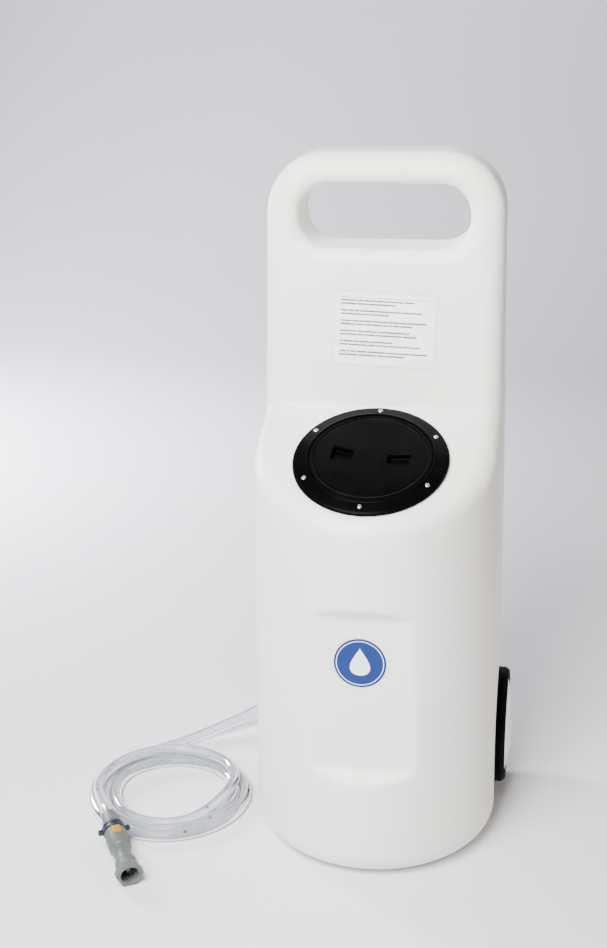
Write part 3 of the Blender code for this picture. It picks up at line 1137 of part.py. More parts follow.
def make_wiring():
    """Two-core cables inside the bay: battery to switch, and switch to pump."""
    top = BATTERY_Z + BATTERY_HEIGHT + TERMINAL_HEIGHT + GAP
    front = BAY_Y + TERMINAL_Y_FROM_FRONT
    switch_back = COVER_FACE_Y - SWITCH_DEPTH - 2 * GAP
    motor_end = PUMP_X + PUMP_HEAD_WIDTH / 2 + MOTOR_LENGTH + 2 * GAP
    terminal = Vector((TERMINAL_X, front, top))
    supply = [terminal + Vector(bend) for bend in SUPPLY_CABLE_BENDS]
    supply += [Vector((SWITCH_X + 0.012, switch_back - 0.012, SWITCH_Z)),
               Vector((SWITCH_X + 0.010, switch_back - 0.004, SWITCH_Z))]
    supply = [terminal] + smooth_route(supply, 18) + [Vector((SWITCH_X + 0.010, switch_back, SWITCH_Z))]
    add_tube("battery_cable", supply, CABLE_RADIUS, (0.30, 0.02, 0.02), 0.4)
    switched = Vector((SWITCH_X - 0.008, switch_back, SWITCH_Z))
    motor_tab = Vector((motor_end, PUMP_Y, PUMP_Z))
    feed = [switched + Vector(bend) for bend in PUMP_CABLE_BENDS]
    feed += [motor_tab + Vector(bend) for bend in MOTOR_END_BENDS]
    feed = [switched] + smooth_route(feed, 14) + [motor_tab]
    add_tube("pump_cable", feed, CABLE_RADIUS, (0.02, 0.02, 0.02), 0.4)


def coil_point(radius, angle, height):
    return Vector((COIL_X + radius * cos(angle), COIL_Y + radius * sin(angle), height))


def make_hose():
    """The free hose: the lead down from the outlet, the coil on the floor, and the tail to the coupling."""
    low = HOSE_RADIUS + GAP
    lead = [outlet_tip() + OUTLET_DIRECTION * 0.012,
            Vector((-0.145, 0.2065, 0.112)), Vector((-0.166, 0.2090, 0.085)), Vector((-0.193, 0.2085, 0.055)),
            Vector((-0.225, 0.2030, 0.032)), Vector((-0.252, 0.1880, 0.022)),
            Vector((-0.280, 0.1670, 0.0155)), Vector((-0.307, 0.1440, 0.011)),
            Vector((-0.334, 0.1210, low)), Vector((-0.360, 0.0968, low)),
            coil_point(COIL_OUTER + HOSE_RADIUS - GAP, LEAD_END, low)]
    lead = [outlet_tip() + OUTLET_DIRECTION * GAP] + smooth_route(lead, 30)
    add_tube("hose_lead", lead, HOSE_RADIUS, (0.80, 0.84, 0.90), 0.08)
    top = GAP + COIL_HEIGHT
    edge = COIL_EDGE
    ring = [(COIL_INNER + edge, top), (COIL_OUTER - edge, top), (COIL_OUTER, top - edge),
            (COIL_OUTER, GAP + edge), (COIL_OUTER - edge, GAP), (COIL_INNER + edge, GAP),
            (COIL_INNER, GAP + edge), (COIL_INNER, top - edge)]
    add_part("hose_coil", turned_mesh("hose_coil", ring, ROUND_STEPS), (0.80, 0.84, 0.90), 0.08, 0.0,
             Matrix.Translation((COIL_X, COIL_Y, 0)))
    leave = atan2(COUPLING_AXIS.y, COUPLING_AXIS.x) - pi / 2 + 2 * pi
    rise = top + GAP + HOSE_RADIUS
    tail = []
    for k in range(7):
        share = k / 6
        climb = 0.004 * share * share
        tail.append(coil_point(TAIL_RADIUS, TAIL_START + (leave - TAIL_START) * share, rise + climb))
    last = COUPLING_START - COUPLING_AXIS * GAP
    tail = smooth_route(tail + [last - COUPLING_AXIS * 0.012], 18) + [last]
    add_tube("hose_tail", tail, HOSE_RADIUS, (0.80, 0.84, 0.90), 0.08)


def coupling_ring(radius, height, hexagon=0.0):
    """A ring of 24 points across the coupling, from a circle at 0 to a hexagon at 1."""
    points = []
    for k in range(24):
        angle = 2 * pi * k / 24
        local = (angle % (pi / 3)) - pi / 6
        flat = cos(pi / 6) / cos(local)
        reach = radius * (1 - hexagon + hexagon * flat)
        points.append((reach * cos(angle), reach * sin(angle), height))
    return points


def make_coupling():
    """The quick coupling: ferrule on the hose, clamping ring, body with a hexagon socket that holds
    the valve's nose, a seal in the socket, and a thumb button."""
    place = frame_along(COUPLING_START, COUPLING_AXIS)
    ferrule = [(0, FERRULE_LENGTH), (FERRULE_RADIUS, FERRULE_LENGTH),
               (FERRULE_RADIUS, FERRULE_LENGTH * 0.7), (FERRULE_TIP_RADIUS, 0.001),
               (FERRULE_TIP_RADIUS - 0.001, 0), (0, 0)]
    add_part("coupling_ferrule", turned_mesh("coupling_ferrule", ferrule, 24), (0.42, 0.45, 0.43), 0.45, 0.0,
             place)
    neck_end = FERRULE_LENGTH + CLAMP_RING_LENGTH
    mouth = COUPLING_LENGTH - SOCKET_MOUTH_DEPTH
    hexagon = COUPLING_LENGTH - HEX_LENGTH
    rings = [coupling_ring(NECK_RADIUS, FERRULE_LENGTH + GAP), coupling_ring(NECK_RADIUS, neck_end),
             coupling_ring(BARREL_RADIUS - 0.001, neck_end + 0.0005),
             coupling_ring(BARREL_RADIUS, neck_end + 0.003), coupling_ring(BARREL_RADIUS, BARREL_END),
             coupling_ring(WAIST_RADIUS, WAIST_START), coupling_ring(WAIST_RADIUS + 0.0003, mouth - 0.009),
             coupling_ring(SLEEVE_RADIUS, mouth - 0.0025), coupling_ring(SLEEVE_RADIUS, hexagon),
             coupling_ring(HEX_RADIUS - 0.0012, hexagon + 0.0003, 1.0),
             coupling_ring(HEX_RADIUS, hexagon + 0.0015, 1.0),
             coupling_ring(HEX_RADIUS, COUPLING_LENGTH - 0.001, 1.0),
             coupling_ring(HEX_RADIUS - 0.001, COUPLING_LENGTH, 1.0),
             coupling_ring(SOCKET_MOUTH_RADIUS + 0.001, COUPLING_LENGTH),
             coupling_ring(SOCKET_MOUTH_RADIUS, COUPLING_LENGTH - 0.001),
             coupling_ring(SOCKET_MOUTH_RADIUS, mouth), coupling_ring(VALVE_NOSE_RADIUS, mouth),
             coupling_ring(VALVE_NOSE_RADIUS * 0.9, mouth + 0.009),
             coupling_ring(VALVE_NOSE_RADIUS * 0.6, mouth + 0.012)]
    body = add_part("coupling_body", loft("coupling_body", rings, sharp=30), (0.42, 0.45, 0.43), 0.45, 0.0,
                    place)
    button_s = neck_end + 0.003 + BUTTON_LENGTH / 2
    low = BUTTON_BOTTOM - BUTTON_TRAVEL - 0.0005
    slot = box_mesh("button_slot", (BUTTON_WIDTH + 2 * GAP, 0.03, BUTTON_LENGTH + 2 * GAP),
                    (0, low + 0.015, button_s))
    boolean(body, add_cutter("button_slot", slot, place))

    ring_low = FERRULE_LENGTH + 2 * GAP
    ring_high = neck_end - GAP
    band = [(NECK_RADIUS + GAP, ring_high), (CLAMP_RING_RADIUS - 0.001, ring_high),
            (CLAMP_RING_RADIUS, ring_high - 0.001), (CLAMP_RING_RADIUS, ring_low + 0.001),
            (CLAMP_RING_RADIUS - 0.001, ring_low), (NECK_RADIUS + GAP, ring_low)]
    clamp = add_part("coupling_clamp", turned_mesh("coupling_clamp", band, 24), (0.05, 0.25, 0.42), 0.35, 0.0,
                     place)
    reach = CLAMP_RING_RADIUS + CLAMP_TAB
    tabs = bmesh.new()
    for side in (-1, 1):
        centre = side * (CLAMP_RING_RADIUS - 0.002 + reach) / 2
        spot = Matrix.Translation((centre, 0, (ring_low + ring_high) / 2))
        size = Matrix.Diagonal((reach - CLAMP_RING_RADIUS + 0.002, 0.0055, 0.008, 1))
        bmesh.ops.create_cube(tabs, size=1.0, matrix=spot @ size)
    boolean(clamp, add_cutter("clamp_tabs", finish_mesh("clamp_tabs", tabs), place), "UNION")

    thumb = add_empty("coupling_button_axis", (0, 0, 0))
    thumb.matrix_world = place @ Matrix.Translation((0, BUTTON_BOTTOM, button_s))
    height = BUTTON_TOP - BUTTON_BOTTOM
    block = box_mesh("coupling_button", (BUTTON_WIDTH, height, BUTTON_LENGTH), (0, height / 2, 0), 0.0015)
    add_part("coupling_button", block, (0.85, 0.52, 0.03), 0.4, 0.0, Matrix.Identity(4), thumb)

    wire = 0.0011
    seat = SOCKET_MOUTH_RADIUS - GAP - wire
    height = mouth + 0.010
    loop = [(seat + wire * cos(t), height - wire * sin(t)) for t in [pi * k / 3 + pi for k in range(6)]]
    add_part("coupling_seal", turned_mesh("coupling_seal", loop, SMALL_STEPS), (0.02, 0.02, 0.02), 0.6, 0.0,
             place)


make_tank()
make_axle()
make_wheel(-1, "left")
make_wheel(1, "right")
make_filler()
make_labels()
make_cover()
make_switch()
make_charge_socket()
make_battery()
make_pump()
make_suction()
make_outlet()
make_wiring()
make_hose()
make_coupling()
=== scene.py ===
"""Watering cart: an upright polyethylene water tank on two wheels, with a screwed filler plate on its
shoulder, a battery pump behind a cover in its back, and a clear hose that lies coiled on the floor.
Metres, +Z up, the front faces -Y. Sections follow the order in which the cart is put together."""
from functools import partial
from math import atan, ceil, cos, pi, radians, sin, tan
import bmesh
import bpy
from mathutils import Matrix, Vector


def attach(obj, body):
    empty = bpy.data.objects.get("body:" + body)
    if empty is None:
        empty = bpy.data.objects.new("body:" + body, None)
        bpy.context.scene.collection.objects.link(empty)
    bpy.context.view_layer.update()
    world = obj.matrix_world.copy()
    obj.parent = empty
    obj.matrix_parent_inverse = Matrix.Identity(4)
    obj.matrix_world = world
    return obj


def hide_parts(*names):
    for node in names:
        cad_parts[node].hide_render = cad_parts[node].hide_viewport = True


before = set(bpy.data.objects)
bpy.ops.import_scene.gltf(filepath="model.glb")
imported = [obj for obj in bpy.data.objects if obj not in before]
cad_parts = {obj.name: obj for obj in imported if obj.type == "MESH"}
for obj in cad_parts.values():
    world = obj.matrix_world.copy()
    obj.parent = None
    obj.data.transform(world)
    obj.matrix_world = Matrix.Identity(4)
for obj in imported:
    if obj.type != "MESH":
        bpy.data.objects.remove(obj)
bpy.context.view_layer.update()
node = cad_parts


# Camera
# It stands a little to the right of the cart's front and above it, and looks down at the filler plate,
# with the lens that gives the photograph's perspective on a frame of 607 by 948.
front_lens = bpy.data.cameras.new("front_camera")
front_lens.sensor_width = 36.0
front_lens.lens = 55.591
front_lens.clip_end = 40.0
front_camera = bpy.data.objects.new("front_camera", front_lens)
front_camera.location = (0.24994, -1.87000, 1.17109)
front_camera.rotation_euler = (radians(70.9267), radians(0.9564), radians(10.3598))
bpy.context.scene.collection.objects.link(front_camera)
bpy.context.scene.camera = front_camera


# Tank
# One hollow moulding of natural white polyethylene, about 5 mm thick, with the back rest and the grab
# handle in the same piece. It is turned in a hot two-part mould, so all its edges come out soft.
tank_wall = 0.005
tank_axis_y = -0.01860625
tank_radius = 0.167
tank_lean = 0.0125
tank_depth = 0.170
tank_back_y = tank_axis_y + tank_depth
back_corner = 0.031
base_round = 0.037
shoulder_tilt = radians(24.1)
shoulder_forward = 0.052
shoulder_height = 0.5588
rim_round = 0.0285
rest_front_y = tank_axis_y + 0.045
rest_back_y = tank_back_y - 0.0004
rest_top = 0.942
rest_lean = 0.090
rest_corner = 0.080
rest_edge = 0.027
grip_half_width = 0.115
grip_low = 0.8155
grip_high = 0.9003
grip_corner = 0.040
grip_lip = 0.018
panel_y = tank_axis_y - 0.151
panel_low = 0.1606
panel_high = 0.381
panel_half_low = 0.0705
panel_half_high = 0.0725
panel_ledge = 0.030
axle_y = tank_axis_y + 0.1225
axle_z = 0.094
axle_radius = 0.00635
tongue_half_width = 0.140
well_radius = 0.095
well_flare = 0.028
well_rise = 0.036
bay_half_width = 0.112
bay_low = 0.128
bay_high = 0.428
bay_front_y = tank_back_y - 0.094
bay_corner = 0.016
filler_hole = 0.0825
fit = 0.0003
pilot = 0.0021
natural_white = "F4F4F1"
aged_white = "EEECE3"
# Tint of the painted warm shade up the grip and at the tank's sides
painted_warm_shade_white = "EDE7D6"
seam_grey = "C9C6BB"
scuff_grey = "B9B6AC"


def srgb(code):
    """A colour written as RRGGBB, as the linear values that a shader takes."""
    shares = [int(code[i:i + 2], 16) / 255 for i in (0, 2, 4)]
    return (*[s / 12.92 if s <= 0.04045 else ((s + 0.055) / 1.055) ** 2.4 for s in shares], 1.0)


def add_node(tree, kind, sockets=(), out=0, **settings):
    """One node with its settings. Its sockets go by name or in their order, and each takes a value or
    another node's output. It gives one output, or all of them, and shader nodes go by short names."""
    made = tree.nodes.new(kind if "Node" in kind else "ShaderNode" + kind)
    for name, value in settings.items():
        setattr(made, name, value)
    for name, value in sockets.items() if isinstance(sockets, dict) else enumerate(sockets):
        if isinstance(value, bpy.types.NodeSocket):
            tree.links.new(value, made.inputs[name])
        else:
            made.inputs[name].default_value = value
    return made.outputs if out is None else made.outputs[out]


def start_finish(name, sockets):
    """A new material with plain values on its surface shader, what adds its nodes, and its places."""
    material = bpy.data.materials.new(name)
    material.use_nodes = True
    for socket, value in sockets.items():
        material.node_tree.nodes["Principled BSDF"].inputs[socket].default_value = value
    add = partial(add_node, material.node_tree)
    return material, add, add("TexCoord", out="Object")


def clouds(add, place, scale, low=0.35, high=0.65, detail=2.0, most=1.0):
    """Soft cloudy variation from 0 to most through a piece, so many clouds to the metre."""
    noise = add("TexNoise", {"Vector": place, "Scale": scale, "Detail": detail})
    return add("MapRange", {"Value": noise, "From Min": low, "From Max": high, "To Max": most})


def lay_on(material, tone, gloss, relief, depth, strength):
    """Lead colour, roughness if it varies, and relief into the surface shader. Relief runs from 0 to 1,
    and depth is how far that is in metres."""
    tree = material.node_tree
    bump = add_node(tree, "Bump", {"Height": relief, "Distance": depth, "Strength": strength})
    for source, socket in ((tone, "Base Color"), (gloss, "Roughness"), (bump, "Normal")):
        if source is not None:
            tree.links.new(source, tree.nodes["Principled BSDF"].inputs[socket])


def as_object(name, work):
    """The mesh in hand as an object of the scene."""
    mesh = bpy.data.meshes.new(name)
    work.to_mesh(mesh)
    work.free()
    made = bpy.data.objects.new(name, mesh)
    bpy.context.scene.collection.objects.link(made)
    return made


def rounded_box(half_x, half_z, corner, steps=10):
    """Points round a rectangle with round corners, about its middle."""
    points = []
    for quarter in range(4):
        middle_x = (half_x - corner) * (1 if quarter in (0, 3) else -1)
        middle_z = (half_z - corner) * (1 if quarter in (0, 1) else -1)
        for k in range(steps + 1):
            turn = quarter * pi / 2 + k * pi / 2 / steps
            points.append((middle_x + corner * cos(turn), middle_z + corner * sin(turn)))
    return points


def roll(radius, steps=10):
    """(run, rise) pairs of a quarter circle, from flat against a face to square with it."""
    turns = [k * pi / 2 / steps for k in range(steps + 1)]
    return [(radius * (1 - cos(turn)), radius * (1 - sin(turn))) for turn in turns]


def skin(name, rings, capped=True):
    """A closed object skinned over a row of rings; uncapped, the last ring joins the first."""
    work = bmesh.new()
    rows = [[work.verts.new(point) for point in ring] for ring in rings]
    pairs = list(zip(rows, rows[1:] if capped else rows[1:] + rows[:1]))
    for lower, upper in pairs:
        for i in range(len(lower)):
            k = (i + 1) % len(lower)
            work.faces.new((lower[i], lower[k], upper[k], upper[i]))
    if capped:
        work.faces.new(list(reversed(rows[0])))
        work.faces.new(rows[-1])
    bmesh.ops.recalc_face_normals(work, faces=work.faces)
    return as_object(name, work)


def slab(name, outline, place, near, far):
    """A flat piece of an outline in a frame's XZ plane, from near to far along its Y."""
    return skin(name, [[place @ Vector((x, y, z)) for x, z in outline] for y in (near, far)])


def carve(solid, *tools, operation="DIFFERENCE"):
    for tool in tools:
        cut = solid.modifiers.new(tool.name, "BOOLEAN")
        cut.object = tool
        cut.operation = operation
        cut.solver = "EXACT"


def settle(piece, *spent):
    """Make the modifiers' result the piece's own mesh, and clear away the tools that cut it."""
    graph = bpy.context.evaluated_depsgraph_get()
    mesh = bpy.data.meshes.new_from_object(piece.evaluated_get(graph))
    piece.modifiers.clear()
    piece.data = mesh
    for tool in spent:
        bpy.data.objects.remove(tool, do_unlink=True)
    return piece


def soften(piece, sharp=35):
    piece.data.shade_smooth()
    piece.data.set_sharp_from_angle(angle=radians(sharp))


def dress(piece, material, body, slot, *stands_for):
    """Give a finished piece its material, its body and the CAD nodes it replaces; its slot is not used."""
    piece.data.materials.clear()
    piece.data.materials.append(material)
    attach(piece, body)
    if stands_for:
        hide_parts(*stands_for)


def repaint(material, *names):
    """Give CAD pieces whose shape is right their real finish."""
    for name in names:
        for place in node[name].material_slots:
            place.material = material


def tank_half_width(height):
    return tank_radius - tank_lean * (height - 0.300)


def tank_plan(radius, depth, corner):
    """The tank's D from above, as points with their outward normals."""
    right = []
    for k in range(41):
        turn = k * pi / 80
        right.append((radius * sin(turn), -radius * cos(turn), sin(turn), -cos(turn)))
    for k in range(13):
        turn = k * pi / 24
        right.append((radius - corner + corner * cos(turn), depth - corner + corner * sin(turn),
                      cos(turn), sin(turn)))
    return right + [(-x, y, -nx, ny) for x, y, nx, ny in reversed(right[1:])]


def tank_body(name, inset):
    """The lower body up to the sloped shoulder, drawn in by inset on every side."""
    slope = Vector((0, -sin(shoulder_tilt), cos(shoulder_tilt)))
    rim = rim_round - inset
    corner = back_corner - inset
    depth = tank_depth - inset
    rings = []
    for run, rise in reversed(roll(base_round - inset)):
        plan = tank_plan(tank_half_width(base_round) - inset - run, depth - run, max(corner - run, 0.002))
        rings.append([(x, tank_axis_y + y, inset + rise) for x, y, nx, ny in plan])
    plan = tank_plan(tank_half_width(0.540) - inset, depth, corner)
    for step in range(13):
        ring = []
        for x, y, nx, ny in plan:
            side = Vector((nx, ny, 0))
            spine = Vector((x, tank_axis_y + y, 0)) - side * rim
            top = shoulder_height + (spine.y - tank_axis_y + shoulder_forward) * tan(shoulder_tilt)
            spine.z = top - (inset + rim) / cos(shoulder_tilt)
            ring.append(spine + side.slerp(slope, step / 12) * rim)
        rings.append(ring)
    return skin(name, rings)


def lean_back(y, z):
    """The rest's front leans back with height, and its back stays upright."""
    return y + rest_lean * (z - 0.600) * (rest_back_y - y) / (rest_back_y - rest_front_y)


def back_rest(name, inset):
    """The back rest from inside the body up to its round top, drawn in by inset."""
    edge = rest_edge - inset
    front = rest_front_y + inset
    back = rest_back_y - inset
    sections = [(front + run, rise) for run, rise in roll(edge)]
    sections += [(back - run, rise) for run, rise in reversed(roll(edge))]
    rings = []
    for y, pull in sections:
        side = 0.0004 + inset + pull
        radius = rest_corner - inset - pull
        high = rest_top - inset - pull
        right = [(tank_half_width(0.430) - side, 0.430)]
        for k in range(19):
            turn = k * pi / 36
            reach = tank_half_width(high - radius) - side - radius
            right.append((reach + radius * cos(turn), high - radius + radius * sin(turn)))
        rings.append([(x, lean_back(y, z), z) for x, z in right + [(-x, z) for x, z in reversed(right)]])
    return skin(name, rings)


def grip_space(name, wall):
    """The space of the grab opening, with its rolled lips, grown by a wall."""
    half_height = (grip_high - grip_low) / 2
    middle = (grip_high + grip_low) / 2
    flares = [(wall + run, wall + rise) for run, rise in roll(grip_lip - wall)]
    sections = [(rest_front_y - 0.01, grip_lip)] + [(rest_front_y + d, f) for d, f in flares]
    sections += [(rest_back_y - d, f) for d, f in reversed(flares)] + [(rest_back_y + 0.01, grip_lip)]
    rings = []
    for y, flare in sections:
        ring = rounded_box(grip_half_width + flare, half_height + flare, grip_corner + flare, 14)
        rings.append([(x, lean_back(y, middle + z), middle + z) for x, z in ring])
    return skin(name, rings)


def panel_space(name, wall):
    """The space in front of the flat panel, with ledges that slope out above and below it."""
    middle = (panel_high + panel_low) / 2
    half = (panel_high - panel_low) / 2
    rings = []
    for forward in (0, panel_ledge):
        ring = []
        for x, z in rounded_box(1.0, half + wall, 0.010 + wall, 6):
            share = (z + half) / (2 * half)
            side = 1.0 if x > 0 else -1.0
            width = panel_half_low + (panel_half_high - panel_half_low) * share + wall
            lift = forward if z > 0 else -forward
            ring.append((x - side + side * width, panel_y + wall - forward, middle + z + lift))
        rings.append(ring)
    return skin(name, rings)


def wheel_well(name, side, wall):
    """The space of one wheel well, rolled where it meets the tank's side, grown by a wall."""
    outer = tank_half_width(0) - fit
    steep = (well_rise - wall) / (well_flare - wall)
    sections = [(tongue_half_width - wall, wall)]
    sections += [(outer - wall - run, wall + rise * steep)
                 for run, rise in reversed(roll(well_flare - wall))]
    sections.append((outer + 0.02, well_rise))
    rings = []
    for x, flare in sections:
        radius = well_radius + flare
        ring = [(axle_y - radius, -0.02)]
        for k in range(25):
            turn = pi - k * pi / 48
            ring.append((axle_y + radius * cos(turn), axle_z + radius * sin(turn)))
        ring += [(tank_back_y + 0.05, axle_z + radius), (tank_back_y + 0.05, -0.02)]
        rings.append([(side * x, y, z) for y, z in ring])
    return skin(name, rings)


def bay_space(name, sections):
    """A block along Y in the outline of the equipment bay, grown at each section."""
    rings = []
    for y, grow in sections:
        ring = rounded_box(bay_half_width + grow, (bay_high - bay_low) / 2 + grow, bay_corner + grow, 6)
        rings.append([(x, y, (bay_high + bay_low) / 2 + z) for x, z in ring])
    return skin(name, rings)


def bore(name, radius, low, high, place, centres=((0, 0),), steps=32):
    """Round holes between two heights of a frame."""
    work = bmesh.new()
    for x, y in centres:
        spot = place @ Matrix.Translation((x, y, (low + high) / 2))
        bmesh.ops.create_cone(work, cap_ends=True, segments=steps, radius1=radius, radius2=radius,
                              depth=high - low, matrix=spot)
    return as_object(name, work)


def facing_back(y):
    """A frame whose Z points to the back of the cart; its Y points down."""
    return Matrix.Translation((0, y, 0)) @ Matrix.Rotation(-pi / 2, 4, "X")


filler_frame = Matrix.Translation((0, tank_axis_y - shoulder_forward, shoulder_height))
filler_frame = filler_frame @ Matrix.Rotation(shoulder_tilt, 4, "X")
axle_frame = Matrix.Translation((0, axle_y, axle_z)) @ Matrix.Rotation(pi / 2, 4, "Y")
screw_circle = 0.0925
filler_screw_turns = [pi / 2 + radians(-1.4) + k * pi / 3 for k in range(6)]
filler_screw_places = [(screw_circle * cos(t), screw_circle * sin(t)) for t in filler_screw_turns]
cover_screw_places = [(side * 0.1195, -(0.278 + row * 0.120)) for side in (-1, 1) for row in (-1, 1)]
bay_screw_places = [(-0.073, -0.343), (0.045, -0.281), (-0.0871, -0.1783), (0.0871, -0.1783)]

tank = tank_body("tank", 0.0)
rest = back_rest("rest", 0.0)
grip = grip_space("grip", 0.0)
panel = panel_space("panel", 0.0)
carve(tank, rest, operation="UNION")
carve(tank, grip, panel)
blend_edges = tank.modifiers.new("soft_edges", "REMESH")
blend_edges.mode = "VOXEL"
blend_edges.voxel_size = 0.0030
ease = tank.modifiers.new("eased", "SMOOTH")
ease.factor = 0.5
ease.iterations = 9
thin_out = tank.modifiers.new("thinned", "DECIMATE")
thin_out.ratio = 0.50
settle(tank, rest, grip, panel)

inside = tank_body("inside", tank_wall)
rest = back_rest("rest", tank_wall)
grip = grip_space("grip", tank_wall)
panel = panel_space("panel", tank_wall)
bay_walls = bay_space("bay_walls", [(bay_front_y - 0.012, tank_wall), (tank_back_y - 0.016, tank_wall),
                                    (tank_back_y - 0.0157, 0.020), (tank_back_y + 0.01, 0.020)])
wells = [wheel_well("well", side, tank_wall) for side in (-1, 1)]
sleeve = bore("sleeve", axle_radius + fit + tank_wall, -tank_radius, tank_radius, axle_frame)
carve(inside, rest, operation="UNION")
carve(inside, grip, panel, bay_walls, *wells, sleeve)
settle(inside, rest, grip, panel, bay_walls, *wells, sleeve)
tools = [
    bay_space("bay", [(bay_front_y, 0), (tank_back_y + 0.02, 0)]),
    *[wheel_well("well", side, 0.0) for side in (-1, 1)],
    bore("axle_hole", axle_radius + fit, -0.334, 0.334, axle_frame),
    bore("filler_mouth", filler_hole, -0.04, 0.04, filler_frame, steps=96),
    bore("filler_pilots", pilot, -0.03, 0.01, filler_frame, filler_screw_places, 12),
    bore("cover_pilots", pilot, -0.0123, 0.01, facing_back(tank_back_y), cover_screw_places, 12),
    bore("bay_pilots", pilot, -0.009, 0.004, facing_back(bay_front_y), bay_screw_places, 12),
    bore("suction_hole", 0.0083, -0.03, 0.01, facing_back(bay_front_y), [(-0.055, -0.246)], 24)]
carve(inside, *tools, operation="UNION")
settle(inside, *tools)
carve(tank, inside)
settle(tank, inside)
tank.data.name = "tank"
soften(tank, 38)

# Satin polyethylene: cloudy, with a painted warm shade up the grip and towards the sides, a faint
# orange peel and a mould line where the two halves of the mould met
polyethylene, add, place = start_finish("natural_polyethylene", {
    "Subsurface Weight": 0.35, "Subsurface Radius": (1.0, 0.95, 0.8), "Subsurface Scale": 0.010,
    "Specular IOR Level": 0.42})
axes = add("SeparateXYZ", (place,), None)
aged = clouds(add, place, 5.0, most=0.5)
tone = add("Mix", {0: aged, 6: srgb(natural_white), 7: srgb(aged_white)}, 2, data_type="RGBA")
# Painted shade: a darker, warmer tone up the grip and towards the tank's sides, where light falls off
grip_shade_share = add("MapRange", {"Value": axes[2], "From Min": 0.80, "From Max": 0.95, "To Max": 0.45})
far_side = add("Math", (axes[0],), operation="ABSOLUTE")
side_shade_share = add("MapRange", {"Value": far_side, "From Min": 0.135, "From Max": 0.168, "To Max": 0.35})
painted_shade_share = add("Math", (grip_shade_share, side_shade_share), operation="MAXIMUM")
tone = add("Mix", {0: painted_shade_share, 6: tone, 7: srgb(painted_warm_shade_white)}, 2, data_type="RGBA")
on_seam = add("Math", (axes[1], tank_axis_y + 0.002, 0.0006), operation="COMPARE")
on_side = add("Math", (far_side, 0.145), operation="GREATER_THAN")
seam = add("Math", (on_seam, on_side), operation="MULTIPLY")
seam_share = add("Math", (seam, 0.35), operation="MULTIPLY")
tone = add("Mix", {0: seam_share, 6: tone, 7: srgb(seam_grey)}, 2, data_type="RGBA")
to_floor = add("MapRange", {"Value": axes[2], "From Min": 0.05, "From Max": 0.0, "To Max": 0.35})
scuffed = add("Math", (clouds(add, place, 90.0, 0.60, 0.72, 4.0), to_floor), operation="MULTIPLY")
tone = add("Mix", {0: scuffed, 6: tone, 7: srgb(scuff_grey)}, 2, data_type="RGBA")
matt = add("MapRange", {"Value": clouds(add, place, 30.0), "To Min": 0.36, "To Max": 0.46})
peel = clouds(add, place, 700.0, 0.3, 0.7)
relief = add("Math", (peel, 0.06, clouds(add, place, 11.0, 0.3, 0.7)), operation="MULTIPLY_ADD")
relief = add("Math", (seam, -0.25, relief), operation="MULTIPLY_ADD")
lay_on(polyethylene, tone, matt, relief, 0.0008, 0.6)
dress(tank, polyethylene, "tank", "natural_polyethylene", "tank_shell")


# Axle and wheels
# A zinc-plated steel rod lies in the tank's moulded sleeve. On each end turns a plastic wheel with a
# solid rubber tyre, kept on by a spring push nut under a snap-in hub cap.
wheel_centre_x = 0.163
wheel_half_width = 0.019
tyre_radius = 0.085
tyre_seat = 0.0683
cap_dome = 0.0253
cap_edge = 0.0675
cap_low = 0.0153


def eased(profile, steps=4):
    """A profile of (radius, height, softness) with each corner rounded off by its softness."""
    points = []
    count = len(profile)
    for i, (r, h, soft) in enumerate(profile):
        here = Vector((r, h))
        if soft == 0 or i in (0, count - 1):
            points.append((r, h))
            continue
        before = Vector(profile[i - 1][:2]) - here
        after = Vector(profile[i + 1][:2]) - here
        start = here + before.normalized() * min(soft, before.length * 0.49)
        end = here + after.normalized() * min(soft, after.length * 0.49)
        for k in range(steps + 1):
            t = k / steps
            point = start * (1 - t) ** 2 + here * 2 * t * (1 - t) + end * t * t
            points.append((point.x, point.y))
    return points


def turned(name, profile, steps, place):
    """A profile of (radius, height) turned about a frame's Z; it closes on the axis or on itself."""
    work = bmesh.new()
    rows = []
    for radius, height in profile:
        if radius < 1e-6:
            rows.append([work.verts.new((0, 0, height))])
            continue
        turns = [2 * pi * k / steps for k in range(steps)]
        rows.append([work.verts.new((radius * cos(t), radius * sin(t), height)) for t in turns])
    pairs = list(zip(rows, rows[1:]))
    if profile[0][0] > 1e-6:
        pairs.append((rows[-1], rows[0]))
    for one, other in pairs:
        for i in range(steps):
            k = (i + 1) % steps
            corners = [one[i % len(one)], one[k % len(one)], other[k % len(other)], other[i % len(other)]]
            face = list(dict.fromkeys(corners))
            if len(face) > 2:
                work.faces.new(face)
    work.transform(place)
    bmesh.ops.recalc_face_normals(work, faces=work.faces)
    made = as_object(name, work)
    soften(made, 40)
    return made


def moulded_plastic(name, colour, worn, roughness, grain=1200.0, depth=0.00005, sockets=()):
    """Injection-moulded plastic: a fine spark-eroded grain and slightly uneven gloss."""
    material, add, place = start_finish(name, {"Specular IOR Level": 0.45, **dict(sockets)})
    faded = clouds(add, place, 40.0, most=0.6)
    tone = add("Mix", {0: faded, 6: srgb(colour), 7: srgb(worn)}, 2, data_type="RGBA")
    uneven = clouds(add, place, 120.0)
    gloss = add("MapRange", {"Value": uneven, "To Min": roughness - 0.04, "To Max": roughness + 0.05})
    lay_on(material, tone, gloss, clouds(add, place, grain, 0.3, 0.7), depth, 0.7)
    return material


def soft_rubber(name, colour, dusty, roughness, shine=0.30):
    """Black rubber: matt, with a dry bloom that lies in clouds."""
    material, add, place = start_finish(name, {"Specular IOR Level": shine})
    bloom = clouds(add, place, 55.0, 0.35, 0.75, 5.0, 0.5)
    tone = add("Mix", {0: bloom, 6: srgb(colour), 7: srgb(dusty)}, 2, data_type="RGBA")
    gloss = add("MapRange", {"Value": bloom, "From Max": 0.5, "To Min": roughness - 0.06,
                             "To Max": roughness + 0.06})
    lay_on(material, tone, gloss, clouds(add, place, 900.0, 0.3, 0.7, 4.0), 0.00008, 0.8)
    return material


